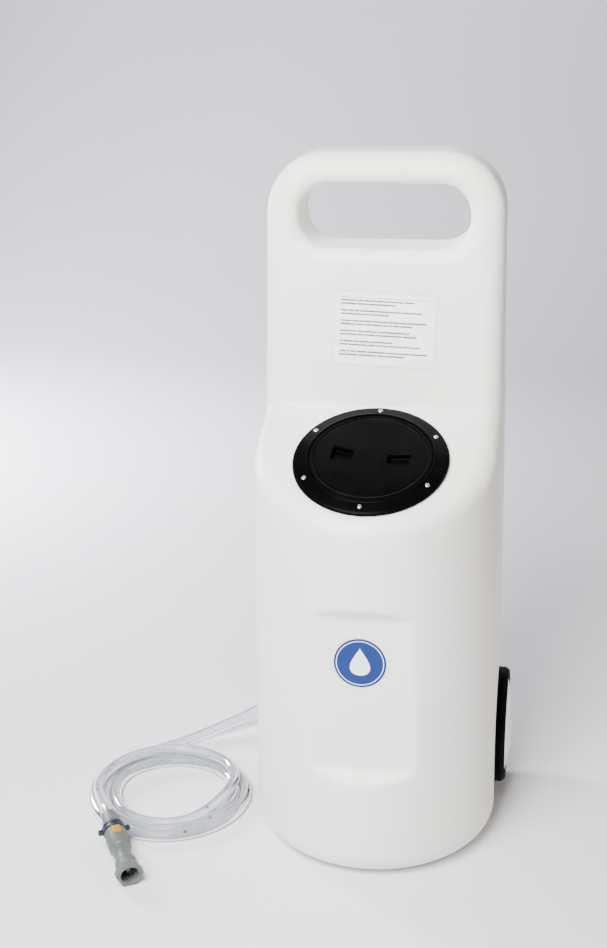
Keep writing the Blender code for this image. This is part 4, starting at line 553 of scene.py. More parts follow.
def bright_steel(name, colour, stained, roughness):
    """Drawn and plated steel: a clear metal with a faint haze and fine drawing lines along X."""
    material, add, place = start_finish(name, {"Metallic": 1.0})
    haze = clouds(add, place, 150.0, 0.35, 0.7, 3.0, 0.5)
    tone = add("Mix", {0: haze, 6: srgb(colour), 7: srgb(stained)}, 2, data_type="RGBA")
    gloss = add("MapRange", {"Value": haze, "From Max": 0.5, "To Min": roughness - 0.05,
                             "To Max": roughness + 0.10})
    along = add("Mapping", {"Vector": place, "Scale": (40.0, 1600.0, 1600.0)})
    lay_on(material, tone, gloss, clouds(add, along, 1.0, 0.3, 0.7), 0.00002, 0.5)
    return material


plated_steel = bright_steel("zinc_plated_steel", "C9CCCE", "A8ABAA", 0.30)
tyre_rubber = soft_rubber("tyre_rubber", "020202", "050505", 0.66, 0.06)
rim_plastic = moulded_plastic("wheel_rim_plastic", "D9D9D4", "CFCEC7", 0.42)
cap_finish = moulded_plastic("silvered_cap_plastic", "E9EEF6", "E2E8F2", 0.28, 2000.0, 0.00001,
                             {"Coat Weight": 0.5, "Coat Roughness": 0.12})
repaint(plated_steel, "axle", "left_push_nut", "right_push_nut")
repaint(rim_plastic, "left_rim", "right_rim")
half = wheel_half_width
tread = []
for middle in (0.0085, 0.0, -0.0085):
    tread += [(tyre_radius, middle + 0.0010, 0.0003), (tyre_radius - 0.0005, middle + 0.0006, 0.0003),
              (tyre_radius - 0.0005, middle - 0.0006, 0.0003), (tyre_radius, middle - 0.0010, 0.0003)]
tyre_profile = [(tyre_seat, half - 0.004, 0), (tyre_seat + 0.006, half - 0.0008, 0.002),
                (tyre_radius - 0.008, half - 0.0004, 0.001), (tyre_radius - 0.0074, half - 0.0010, 0.0004),
                (tyre_radius - 0.0062, half - 0.0002, 0.0004), (tyre_radius - 0.0045, half, 0.002),
                (tyre_radius, half - 0.0055, 0.003)]
tyre_profile += tread
tyre_profile += [(r, -h, soft) for r, h, soft in reversed(tyre_profile[:7])]
cap_profile = [(0, cap_dome - 0.0006, 0), (0.0045, cap_dome - 0.0006, 0.0006), (0.0060, cap_dome, 0.001),
               (0.0354, cap_dome - 0.0014, 0.014), (0.0565, cap_dome - 0.0048, 0.010),
               (cap_edge, cap_low + 0.0022, 0.0012), (cap_edge, cap_low, 0.0004), (0.0600, cap_low, 0.001),
               (0.0354, cap_dome - 0.0046, 0.010), (0, cap_dome - 0.0030, 0)]
for side, word in ((-1, "left"), (1, "right")):
    hub = Matrix.Translation((side * wheel_centre_x, axle_y, axle_z))
    hub = hub @ Matrix.Rotation(side * pi / 2, 4, "Y")
    tyre = turned(word + "_tyre_ribbed", eased(tyre_profile), 120, hub)
    dress(tyre, tyre_rubber, word + "_wheel", "tyre_rubber", word + "_tyre")
    cap = turned(word + "_hub_cap_domed", eased(cap_profile, 6), 96, hub)
    dress(cap, cap_finish, word + "_wheel", "hub_cap_plastic", word + "_hub_cap")


# Filler plate
# A screw-out deck plate of black glass-filled plastic: a gasket, a ring with a neck through the
# shoulder, six stainless screws in counterbores, and a lid with two finger pockets and a round seal.
ring_base = 0.0021
ring_top = 0.0105
plate_edge = 0.103
lid_edge = 0.0820
lid_top = 0.0099
lid_under = 0.0059
lid_seat = 0.0051
neck_radius = 0.0780
screw_seat = 0.0071
lid_turn = radians(-6.5)
pocket_middle = 0.0376
pocket_half_length = 0.0145


def pocket_space(name, place, levels):
    """A wedge-shaped finger pocket that widens outwards, through rows of (height, grown by)."""
    rings = []
    for height, grow in levels:
        near = pocket_middle - pocket_half_length - grow
        far = pocket_middle + pocket_half_length + grow
        corners = [Vector((near, -0.0075 - grow)), Vector((far, -0.0135 - grow)),
                   Vector((far, 0.0135 + grow)), Vector((near, 0.0075 + grow))]
        ring = []
        for i, here in enumerate(corners):
            before = (corners[i - 1] - here).normalized() * 0.0025
            after = (corners[(i + 1) % 4] - here).normalized() * 0.0025
            for k in range(6):
                t = k / 5
                spot = (here + before) * (1 - t) ** 2 + here * 2 * t * (1 - t) + (here + after) * t * t
                ring.append(place @ Vector((spot.x, spot.y, height)))
        rings.append(ring)
    return skin(name, rings)


def socket_tree(name, sockets):
    """An empty geometry tree with named inputs, what adds its nodes, and the inputs' outputs."""
    tree = bpy.data.node_groups.new(name, "GeometryNodeTree")
    tree.interface.new_socket("Geometry", in_out="INPUT", socket_type="NodeSocketGeometry")
    for label, kind in sockets:
        tree.interface.new_socket(label, in_out="INPUT", socket_type="NodeSocket" + kind)
    tree.interface.new_socket("Geometry", in_out="OUTPUT", socket_type="NodeSocketGeometry")
    add = partial(add_node, tree)
    return tree, add, add("NodeGroupInput", (), None)


def finish_tree(add, instances, finish):
    """Every tree ends the same way: its instances made real, and its material set."""
    solid = add("GeometryNodeRealizeInstances", (instances,))
    painted = add("GeometryNodeSetMaterial", {"Geometry": solid, "Material": finish})
    add("NodeGroupOutput", (painted,), None)


def grow_piece(name, tree, points, values):
    """A plain mesh made by a geometry tree from some points, with its inputs set by name."""
    mesh = bpy.data.meshes.new(name)
    mesh.from_pydata([tuple(point) for point in points], [], [])
    piece = bpy.data.objects.new(name, mesh)
    bpy.context.scene.collection.objects.link(piece)
    grown = piece.modifiers.new(name, "NODES")
    grown.node_group = tree
    for item in tree.interface.items_tree:
        if item.item_type == "SOCKET" and item.in_out == "INPUT" and item.name in values:
            grown[item.identifier] = values[item.name]
    settle(piece)
    piece.data.name = name
    return piece


black_plastic = moulded_plastic("black_filled_plastic", "030304", "060607", 0.32, 1500.0, 0.000008,
                                {"Specular IOR Level": 0.025})
seal_rubber = soft_rubber("black_seal_rubber", "131313", "232322", 0.70)
repaint(seal_rubber, "filler_gasket", "filler_lid_seal")
ring_profile = [(0.0826, ring_top, 0), (0.0850, ring_top, 0.0008), (0.0868, 0.0097, 0.0008),
                (0.1006, 0.0064, 0.002), (plate_edge, 0.0049, 0.0012), (plate_edge, ring_base, 0),
                (0.0805, ring_base, 0), (0.0805, -0.026, 0.0005), (neck_radius, -0.026, 0.0005),
                (neck_radius, lid_seat, 0.0003), (0.0826, lid_seat, 0)]
filler_ring = turned("filler_plate_ring", eased(ring_profile), 144, filler_frame)
counterbores = bore("counterbores", 0.0046, screw_seat, 0.02, filler_frame, filler_screw_places, 40)
shanks = bore("shank_holes", pilot, -0.01, 0.02, filler_frame, filler_screw_places, 16)
carve(filler_ring, counterbores, shanks)
settle(filler_ring, counterbores, shanks)
soften(filler_ring, 30)
dress(filler_ring, black_plastic, "tank", "black_plastic", "filler_ring")

lid_profile = [(0, lid_top - 0.0004, 0), (0.0742, lid_top - 0.0004, 0.001),
               (0.0756, lid_top - 0.0010, 0.0004), (0.0764, lid_top - 0.0004, 0.0004),
               (0.0790, lid_top, 0.001), (lid_edge, lid_top - 0.0007, 0.0008),
               (lid_edge, lid_under, 0.0003), (0.0774, lid_under, 0), (0.0774, -0.020, 0.0005),
               (0.0734, -0.020, 0.0005), (0.0734, lid_under, 0), (0, lid_under, 0)]
filler_lid = turned("filler_lid_pocketed", eased(lid_profile), 144, filler_frame)
spins = [filler_frame @ Matrix.Rotation(lid_turn + k * pi, 4, "Z") for k in range(2)]
cup_levels = [(-0.0006, 0.0005), (0.0006, 0.0018), (lid_under + 0.001, 0.002)]
pocket_levels = [(0.0014, -0.0012), (0.0022, -0.0004), (lid_top - 0.0012, 0.0), (lid_top - 0.0003, 0.0008),
                 (0.02, 0.0008)]
cups = [pocket_space("cup", spin, cup_levels) for spin in spins]
pockets = [pocket_space("pocket", spin, pocket_levels) for spin in spins]
gate = bore("gate_mark", 0.0013, lid_top - 0.0009, 0.02, filler_frame, [(-0.005, -0.067)], 16)
carve(filler_lid, *cups, operation="UNION")
carve(filler_lid, *pockets, gate)
settle(filler_lid, *cups, *pockets, gate)
soften(filler_lid, 30)
dress(filler_lid, black_plastic, "lid", "black_plastic", "filler_lid")

# One stainless pan head screw with a cross recess, set at every screw place by a geometry tree
screw_profile = [(0, 0.0026, 0), (0.0020, 0.0025, 0.0008), (0.0033, 0.0016, 0.001), (0.0035, 0.0, 0.0002),
                 (0.0018, 0.0, 0), (0.0018, -0.0145, 0.0005), (0.0006, -0.0158, 0), (0, -0.016, 0)]
pan_screw = turned("pan_screw", eased(screw_profile, 3), 24, Matrix.Identity(4))
for turn in (0, pi / 2):
    blade = skin("blade", [[(x * cos(turn) - y * sin(turn), x * sin(turn) + y * cos(turn), z)
                            for x, y in ((-w, -0.00035), (w, -0.00035), (w, 0.00035), (-w, 0.00035))]
                           for z, w in ((0.0010, 0.0007), (0.0032, 0.0018))])
    carve(pan_screw, blade)
    settle(pan_screw, blade)
soften(pan_screw, 35)
screw_tree, add, given = socket_tree("pan_head_screws", [
    ("Screw", "Object"), ("Width", "Float"), ("Length", "Float"), ("Direction", "Vector"),
    ("Turn Seed", "Int"), ("Finish", "Material")])
shape = add("GeometryNodeObjectInfo", {"Object": given["Screw"]}, "Geometry")
faced = add("FunctionNodeAlignRotationToVector", {"Vector": given["Direction"]}, axis="Z")
turns = add("FunctionNodeRandomValue", {2: 0.0, 3: 2 * pi, "Seed": given["Turn Seed"]}, 1)
spin = add("FunctionNodeAxisAngleToRotation", {"Axis": (0, 0, 1), "Angle": turns})
driven = add("FunctionNodeRotateRotation", (faced, spin), rotation_space="LOCAL")
size = add("CombineXYZ", (given["Width"], given["Width"], given["Length"]))
set_in = add("GeometryNodeInstanceOnPoints", {"Points": given["Geometry"], "Instance": shape,
                                              "Rotation": driven, "Scale": size})
finish_tree(add, set_in, given["Finish"])
stainless = bright_steel("stainless_screw_steel", "D6D5D1", "B4B2AD", 0.26)


def drive_screws(name, places, direction, length, seed, *names):
    """A row of screws with their heads' undersides at the given points, on the tank's body."""
    values = {"Screw": pan_screw, "Width": 1.0, "Length": length, "Direction": direction,
              "Turn Seed": seed, "Finish": stainless}
    screws = grow_piece(name, screw_tree, places, values)
    dress(screws, stainless, "tank", "stainless_steel", *names)


plate_normal = filler_frame.to_3x3() @ Vector((0, 0, 1))
plate_places = [filler_frame @ Vector((x, y, screw_seat + fit)) for x, y in filler_screw_places]
drive_screws("filler_plate_screws", plate_places, plate_normal, 1.0, 4,
             *[f"filler_screw_{k}" for k in range(1, 7)])


# Stickers
# Two printed films stuck to the moulding: a clear laminated sheet on the back rest with rows of grey
# bars for its text, and a round blue badge with a white water drop on the front panel.
label_x = 0.004
label_z = 0.7105
label_tilt = radians(2.0)
label_half_width = 0.070
label_half_height = 0.051
top_row = 0.0395
row_pitch = 0.0046
paper_half_width = 0.0665
paper_half_height = 0.0475
text_half_width = 0.062
text_left = -0.060
rule_z = 0.0415
badge_x = -0.0008
badge_z = 0.316
badge_radius = 0.0345
film = 0.0004

lean = atan(rest_lean)
label_y = lean_back(rest_front_y, label_z) - 0.0005 / cos(lean)
label_place = Matrix.Translation((label_x, label_y, label_z)) @ Matrix.Rotation(-lean, 4, "X")
label_place = label_place @ Matrix.Rotation(label_tilt, 4, "Y")
outline = rounded_box(label_half_width, label_half_height, 0.0035, 8)
label = slab("instruction_sheet", outline, label_place, film / 2, -film / 2)
sheet_film, add, place = start_finish("laminated_label_film", {
    "Specular IOR Level": 0.55, "Coat Weight": 0.9, "Coat Roughness": 0.06})
flat = add("Mapping", {"Vector": place, "Location": (label_x, label_y, label_z),
                       "Rotation": (-lean, label_tilt, 0)}, vector_type="TEXTURE")
axes = add("SeparateXYZ", (flat,), None)
rows = add("Math", (axes[2], -1 / row_pitch, top_row / row_pitch), operation="MULTIPLY_ADD")
row = add("Math", (rows,), operation="FLOOR")
in_row = add("Math", (rows,), operation="FRACT")
third = add("Math", (row, 3.0), operation="MODULO")
dice = add("TexWhiteNoise", {"W": row}, noise_dimensions="1D")
reach = add("Math", (dice, 0.055, 0.006), operation="MULTIPLY_ADD")
close = add("Math", (axes[0], 420.0), operation="MULTIPLY")
letters = add("CombineXYZ", (close, row))
words = add("TexNoise", {"Vector": letters, "Scale": 1.0, "Detail": 1.0})
# A spot is inked in the middle of a row, in two rows of three, from the margin to the row's own reach,
# and not in the gaps between words
ink = add("Math", (row, 8.0, 8.5), operation="COMPARE")
for test, value, limit in (("GREATER_THAN", in_row, 0.22), ("LESS_THAN", in_row, 0.68),
                           ("LESS_THAN", third, 1.5), ("LESS_THAN", axes[0], reach),
                           ("GREATER_THAN", axes[0], text_left), ("GREATER_THAN", words, 0.37)):
    passed = add("Math", (value, limit), operation=test)
    ink = add("Math", (ink, passed), operation="MULTIPLY")
near_rule = add("Math", (axes[2], rule_z, 0.00035), operation="COMPARE")
in_sheet = add("Math", (axes[0], 0.0, text_half_width), operation="COMPARE")
rule = add("Math", (near_rule, in_sheet), operation="MULTIPLY")
ink = add("Math", (ink, rule), operation="MAXIMUM")
ink = add("Math", (ink, 0.90), operation="MULTIPLY")
paper_x = add("Math", (axes[0], 0.0, paper_half_width), operation="COMPARE")
paper_z = add("Math", (axes[2], 0.0, paper_half_height), operation="COMPARE")
paper = add("Math", (paper_x, paper_z), operation="MULTIPLY")
crease = clouds(add, place, 26.0, 0.42, 0.60, 3.0, 0.25)
tone = add("Mix", {0: paper, 6: srgb("E9EAE6"), 7: srgb("FCFCFC")}, 2, data_type="RGBA")
tone = add("Mix", {0: crease, 6: tone, 7: srgb("FFFFFF")}, 2, data_type="RGBA")
tone = add("Mix", {0: ink, 6: tone, 7: srgb("454747")}, 2, data_type="RGBA")
gloss = add("MapRange", {"Value": crease, "From Max": 0.25, "To Min": 0.16, "To Max": 0.34})
lay_on(sheet_film, tone, gloss, clouds(add, place, 60.0), 0.0012, 0.5)
dress(label, sheet_film, "tank", "label_film", "instruction_label")


def disc_outline(radius, steps=96):
    return [(radius * cos(2 * pi * k / steps), radius * sin(2 * pi * k / steps)) for k in range(steps)]


drop = []
for k in range(1, 64):
    turn = 2 * pi * k / 64
    drop.append((0.0190 * sin(turn) * sin(turn / 2) ** 1.5, 0.0020 + 0.0195 * cos(turn)))
drop = [(0.0, 0.0215)] + drop
badge_place = Matrix.Translation((badge_x, panel_y, badge_z))
band = [[badge_place @ Vector((x, -y, z)) for x, z in disc_outline(r)]
        for r, y in ((0.0316, 0.0006), (0.0316, 0.00078), (0.0306, 0.00078), (0.0306, 0.0006))]


def badge_film(name, colour, lighter):
    """Screen-printed film: an even ink with a slight sheen and the film's own fine orange peel."""
    material, add, place = start_finish(name, {"Coat Weight": 0.1, "Coat Roughness": 0.15,
                                               "Specular IOR Level": 0.3})
    thinner = clouds(add, place, 35.0, most=0.5)
    tone = add("Mix", {0: thinner, 6: srgb(colour), 7: srgb(lighter)}, 2, data_type="RGBA")
    gloss = add("MapRange", {"Value": clouds(add, place, 200.0), "To Min": 0.30, "To Max": 0.40})
    lay_on(material, tone, gloss, clouds(add, place, 800.0, 0.3, 0.7), 0.00003, 0.5)
    return material


blue_ink = badge_film("blue_badge_ink", "00286A", "012C70")
white_ink = badge_film("white_badge_ink", "EDF5FA", "DDEBF5")
badge = slab("blue_badge", disc_outline(badge_radius), badge_place, -0.0003, -0.0007)
dress(badge, blue_ink, "tank", "badge_film", "front_badge")
white_drop = slab("white_drop", drop, badge_place, -0.0006, -0.00078)
dress(white_drop, white_ink, "tank", "badge_film")
white_ring = skin("white_ring", band, capped=False)
dress(white_ring, white_ink, "tank", "badge_film")


# Equipment bay
# A sealed lead battery stands on the bay's floor under a steel holding bar; above it a small diaphragm
# pump with its motor sits on a plated bracket, fed from the tank through a dip tube with a strainer.
battery_case = moulded_plastic("battery_case_plastic", "2B2D30", "35373A", 0.50, 700.0, 0.0001)
bracket_steel = bright_steel("plated_bracket_steel", "BFC2C4", "9FA2A1", 0.36)
motor_paint = moulded_plastic("black_motor_enamel", "141516", "1D1E1F", 0.32, 300.0, 0.00003)
pump_plastic = moulded_plastic("pump_head_plastic", "1B1C1D", "26272A", 0.48, 600.0, 0.0001)
fitting_plastic = moulded_plastic("white_fitting_plastic", "E6E5DF", "DAD8CF", 0.38, 900.0, 0.00004)


def cable_sheath(name, colour, worn):
    """Twin cable: a glossy soft sheath with a fine grain."""
    return moulded_plastic(name, colour, worn, 0.34, 1800.0, 0.00006)


repaint(battery_case, "battery")
repaint(bracket_steel, "battery_bar", "pump_plate")
repaint(motor_paint, "pump_motor")
repaint(pump_plastic, "pump_head", "outlet_nut")
repaint(fitting_plastic, "suction_fitting", "dip_tube")
repaint(cable_sheath("red_cable_sheath", "8E1B1B", "7A1515"), "battery_cable")
repaint(cable_sheath("black_cable_sheath", "161617", "202021"), "pump_cable")
bar_places = [(x, bay_front_y + 0.0026, 0.1783) for x in (-0.0871, 0.0871)]
drive_screws("battery_bar_screws", bar_places, (0, 1, 0), 0.6, 7,
             "battery_bar_screw_1", "battery_bar_screw_2")
pump_places = [(x, bay_front_y + 0.0026, z) for x, z in ((-0.073, 0.343), (0.045, 0.281))]
drive_screws("pump_plate_screws", pump_places, (0, 1, 0), 0.6, 9, "pump_screw_1", "pump_screw_2")


# Rear cover
# A shallow hat-shaped cover of black plastic over the bay, with stiffening ribs, a foam gasket and
# four stainless screws. It carries the power switch, the charging socket and the outlet elbow.
cover_y = tank_back_y + 0.0018
cover_shelf = cover_y + 0.003
cover_face = cover_y + 0.0145
cover_inner = cover_face - 0.003
cover_middle = (bay_high + bay_low) / 2
switch_x = 0.045
switch_z = 0.392
socket_x = -0.040
outlet_x = -0.090
outlet_z = 0.156


def cover_ring(y, grow, corner):
    ring = rounded_box(bay_half_width + grow, (bay_high - bay_low) / 2 + grow, corner, 10)
    return [(x, y, cover_middle + z) for x, z in ring]


cover_steps = [(cover_inner, -0.005, 0.011), (cover_inner - 0.0015, -0.0015, 0.0145),
               (cover_inner - 0.005, 0, 0.016), (cover_y, 0, 0.016), (cover_y, 0.0145, 0.0215),
               (cover_y + 0.0005, 0.015, 0.022), (cover_shelf - 0.001, 0.015, 0.022),
               (cover_shelf - 0.0003, 0.0147, 0.0217), (cover_shelf, 0.0140, 0.0210),
               (cover_shelf, 0.0040, 0.0200), (cover_shelf + 0.0003, 0.0034, 0.0194),
               (cover_shelf + 0.001, 0.003, 0.019)]
for k in range(7):
    turn = k * pi / 12
    in_by = 0.005 * (1 - cos(turn))
    cover_steps.append((cover_face - 0.005 * (1 - sin(turn)), 0.003 - in_by, 0.019 - in_by))
cover = skin("rear_bay_cover", [cover_ring(*step) for step in cover_steps])
window_box = [(switch_x - 0.015, 0.381), (switch_x + 0.015, 0.381), (switch_x + 0.015, 0.403),
              (switch_x - 0.015, 0.403)]
window = slab("window", window_box, Matrix.Translation((0, cover_face, 0)), -0.015, 0.015)
holes = bore("cover_holes", 0.0083, -0.015, 0.015, facing_back(cover_face),
             [(socket_x, -switch_z), (outlet_x, -outlet_z)], 40)
screw_holes = bore("cover_screw_holes", pilot, -0.01, 0.012, facing_back(tank_back_y),
                   cover_screw_places, 16)
carve(cover, window, holes, screw_holes)
settle(cover, window, holes, screw_holes)
soften(cover, 32)
cover_plastic = moulded_plastic("textured_cover_plastic", "232427", "2C2D30", 0.52, 420.0, 0.00018)
dress(cover, cover_plastic, "tank", "cover_plastic", "rear_cover")

rib_tree, add, given = socket_tree("stiffening_ribs", [
    ("Length", "Float"), ("Width", "Float"), ("Height", "Float"), ("Pitch", "Float"), ("Count", "Int"),
    ("Finish", "Material")])
step = add("CombineXYZ", {2: given["Pitch"]})
line = add("GeometryNodeMeshLine", {"Count": given["Count"], "Offset": step})
spots = add("GeometryNodeInstanceOnPoints", {"Points": given["Geometry"], "Instance": line})
spots = add("GeometryNodeRealizeInstances", (spots,))
size = add("CombineXYZ", (given["Length"], given["Height"], given["Width"]))
rib = add("GeometryNodeMeshCube", (size,))
ribs = add("GeometryNodeInstanceOnPoints", {"Points": spots, "Instance": rib})
finish_tree(add, ribs, given["Finish"])
cover_ribs = grow_piece("rear_cover_ribs", rib_tree, [(0.012, cover_face, 0.196)], {
    "Length": 0.150, "Width": 0.0032, "Height": 0.0022, "Pitch": 0.0200, "Count": 8,
    "Finish": cover_plastic})
worn_edge = cover_ribs.modifiers.new("worn_edge", "BEVEL")
worn_edge.width = 0.0005
worn_edge.segments = 2
settle(cover_ribs)
dress(cover_ribs, cover_plastic, "tank", "cover_plastic")
foam = soft_rubber("foam_gasket", "1B1B1B", "2A2A29", 0.85)
repaint(foam, "rear_cover_gasket")
flange_places = [(x, cover_shelf + fit, -z) for x, z in cover_screw_places]
drive_screws("rear_cover_screws", flange_places, (0, 1, 0), 0.75, 11,
             *[f"rear_cover_screw_{k}" for k in range(1, 5)])


# Power switch and charging socket
# A snap-in rocker switch with a red rocker marked I and O, and a round barrel socket for the charger
# held by a nut, with a rubber cap that hinges between two ears.
rocker_half = 0.0125
rocker_reach = 0.0079
rocker_place = Matrix.Translation((switch_x, cover_face - 0.002, switch_z))
rocker_place = rocker_place @ Matrix.Rotation(radians(-9), 4, "X")
rocker_side = [(-0.0042, -rocker_reach * 0.5), (-0.0015, -rocker_reach), (0.0044, -rocker_reach),
               (0.0050, -rocker_reach + 0.0006)]
rocker_side += [(0.0034 + 0.0016 * (k / 8) ** 2, k / 8 * (rocker_reach - 0.0006)) for k in range(-7, 8)]
rocker_side += [(0.0050, rocker_reach - 0.0006), (0.0044, rocker_reach), (-0.0015, rocker_reach),
                (-0.0042, rocker_reach * 0.5)]
rocker = skin("rocker_marked", [[rocker_place @ Vector((x, y, z)) for y, z in rocker_side]
                                for x in (-rocker_half, rocker_half)])
soften(rocker, 30)
red_plastic = moulded_plastic("red_rocker_plastic", "B3161B", "A01217", 0.30, 900.0, 0.00002)
dress(rocker, red_plastic, "rocker", "red_plastic", "power_switch_rocker")
print_white = moulded_plastic("white_switch_print", "F0F0EE", "E4E4E0", 0.40, 900.0, 0.00001)
bar = [(-0.0004, 0.0026), (0.0004, 0.0026), (0.0004, 0.0058), (-0.0004, 0.0058)]
on_mark = slab("switch_on_mark", bar, rocker_place, 0.0030, 0.00445)
dress(on_mark, print_white, "rocker", "red_plastic")
off_place = rocker_place @ Matrix.Translation((0, 0.0041, -0.0043)) @ Matrix.Rotation(-pi / 2, 4, "X")
circle = [(0.0018, 0.0002), (0.0018, -0.0008), (0.0012, -0.0008), (0.0012, 0.0002)]
off_mark = turned("switch_off_mark", circle, 40, off_place)
dress(off_mark, print_white, "rocker", "red_plastic")
socket_plastic = moulded_plastic("black_socket_plastic", "141414", "1D1D1D", 0.36, 900.0, 0.00003)
repaint(socket_plastic, "power_switch_housing", "charge_socket")
repaint(soft_rubber("black_cap_rubber", "161616", "272726", 0.60), "charge_cap")
repaint(plated_steel, "charge_socket_nut")


# Outlet
# A black barbed elbow points down and out from the cover; the clear hose is pushed over it and held by
# a stainless worm-drive band.
outlet_way = Vector((-0.78, 0.36, -0.51)).normalized()
outlet_corner = Vector((outlet_x, cover_face + 0.016, outlet_z))
outlet_tip = outlet_corner + outlet_way * 0.028
hose_radius = 0.008
repaint(pump_plastic, "outlet_elbow")
band_steel = bright_steel("stainless_band_steel", "D2D3D2", "AEAFAC", 0.28)
repaint(band_steel, "outlet_clamp")


# Hose
# About two and a half metres of clear PVC tube, 16 mm over a 3 mm wall, with small dark ink dashes along
# it. It comes round the cart from the outlet, lies in three turns and ends in the coupling.
hose_bore = 0.0052
dash_pitch = 0.142
dash_length = 0.00426
coil_middle = Vector((-0.308, -0.0286, 0))
coil_radius = 0.1282
turn_pitch = 0.0162
floor_line = 0.0083
coupling_start = Vector((-0.3694, -0.1376, 0.0345))
coupling_end = Vector((-0.3028, -0.2536, 0.0175))
coupling_way = (coupling_end - coupling_start).normalized()


def smooth_line(points, spacing):
    """Evenly spaced points on a smooth curve through the given ones."""
    ends = [points[0] * 2 - points[1]] + list(points) + [points[-1] * 2 - points[-2]]
    fine = []
    for i in range(1, len(ends) - 2):
        a, b, c, d = ends[i - 1:i + 3]
        at_b = (b - a).length ** 0.5
        at_c = at_b + (c - b).length ** 0.5
        at_d = at_c + (d - c).length ** 0.5
        for k in range(24):
            t = at_b + (at_c - at_b) * k / 24
            bc = b.lerp(c, k / 24)
            abc = a.lerp(b, t / at_b).lerp(bc, t / at_c)
            bcd = bc.lerp(c.lerp(d, (t - at_c) / (at_d - at_c)), (t - at_b) / (at_d - at_b))
            fine.append(abc.lerp(bcd, k / 24))
    fine.append(points[-1].copy())
    reach = [0.0]
    for p, q in zip(fine, fine[1:]):
        reach.append(reach[-1] + (q - p).length)
    count = ceil(reach[-1] / spacing) + 1
    line = []
    k = 0
    for i in range(count):
        target = reach[-1] * i / (count - 1)
        while k < len(fine) - 2 and reach[k + 1] < target:
            k += 1
        line.append(fine[k].lerp(fine[k + 1], (target - reach[k]) / (reach[k + 1] - reach[k])))
    return line


def step_in(angle):
    """Each turn lies inside the last one, and steps in by a tube's width on its way past the back."""
    turns, rest_of_turn = divmod(angle - 125, 360)
    share = min(rest_of_turn / 85, 1.0)
    return turn_pitch * (turns + share * share * (3 - 2 * share))


def coil_spot(radius, angle, height):
    turn = radians(angle)
    return coil_middle + Vector((radius * cos(turn), radius * sin(turn), height))


hose_start = outlet_tip + outlet_way * 0.0003
lead = [(-0.1428, 0.2065, 0.1155), (-0.166, 0.2090, 0.085), (-0.193, 0.2085, 0.055),
        (-0.225, 0.2030, 0.032), (-0.252, 0.1880, 0.022), (-0.280, 0.1670, 0.0155),
        (-0.307, 0.1440, 0.011), (-0.334, 0.1210, floor_line), (-0.360, 0.0968, floor_line)]
route = [hose_start, outlet_tip + outlet_way * 0.016, *[Vector(spot) for spot in lead]]
for angle in range(125, 1011, 12):
    route.append(coil_spot(coil_radius - step_in(angle), angle, floor_line))
# The last turn climbs over the one outside it on its way up the right side
inner = coil_radius - 3 * turn_pitch
climb = turn_pitch * 1.01
for angle in range(1021, 1190, 12):
    share = min((angle - 1010) / 130, 1.0)
    turn = pi - share * share * (3 - 2 * share) * radians(118)
    radius = inner + turn_pitch + climb * cos(turn)
    lift = max(0.0, (angle - 1140) / 50)
    route.append(coil_spot(radius, angle, floor_line + climb * sin(turn) + 0.0025 * lift))
for angle in (1201, 1213, 1225):
    share = (angle - 1189) / 49
    route.append(coil_spot(0.1035 + 0.0018 * share, angle, 0.0252 - 0.0004 * share))
for k in range(6):
    share = k / 6
    route.append(coil_spot(0.1053, 1238 + 51.86 * share, 0.0248 + 0.004 * share * share))
route.append(coupling_start - coupling_way * 0.0123)
hose_line = smooth_line(route, 0.004) + [coupling_start - coupling_way * 0.0003]


def tube(name, line, radius, bore_radius, sides):
    """A hollow tube along a line, with a UV map that runs in metres along it and once round it."""
    work = bmesh.new()
    uv = work.loops.layers.uv.new("along")
    rows = []
    run = [0.0]
    for p, q in zip(line, line[1:]):
        run.append(run[-1] + (q - p).length)
    across = Vector((0, 0, 1))
    for i, point in enumerate(line):
        way = (line[min(i + 1, len(line) - 1)] - line[max(i - 1, 0)]).normalized()
        across = (across - way * across.dot(way)).normalized()
        other = way.cross(across)
        turns = [2 * pi * k / sides for k in range(sides)]
        rows.append([[work.verts.new(point + (across * cos(t) + other * sin(t)) * r) for t in turns]
                     for r in (radius, bore_radius)])
    for i in range(len(line) - 1):
        for wall in (0, 1):
            for k in range(sides):
                n = (k + 1) % sides
                corners = [(i, k), (i, n), (i + 1, n), (i + 1, k)]
                if wall == 0:
                    corners.reverse()
                face = work.faces.new([rows[a][wall][b] for a, b in corners])
                for loop, (a, b) in zip(face.loops, corners):
                    round_share = (b if b or k < sides - 1 else sides) / sides
                    loop[uv].uv = (run[a], round_share)
    for i, flip in ((0, False), (len(line) - 1, True)):
        for k in range(sides):
            n = (k + 1) % sides
            corners = [rows[i][0][k], rows[i][0][n], rows[i][1][n], rows[i][1][k]]
            work.faces.new(list(reversed(corners)) if flip else corners)
    made = as_object(name, work)
    soften(made, 50)
    return made


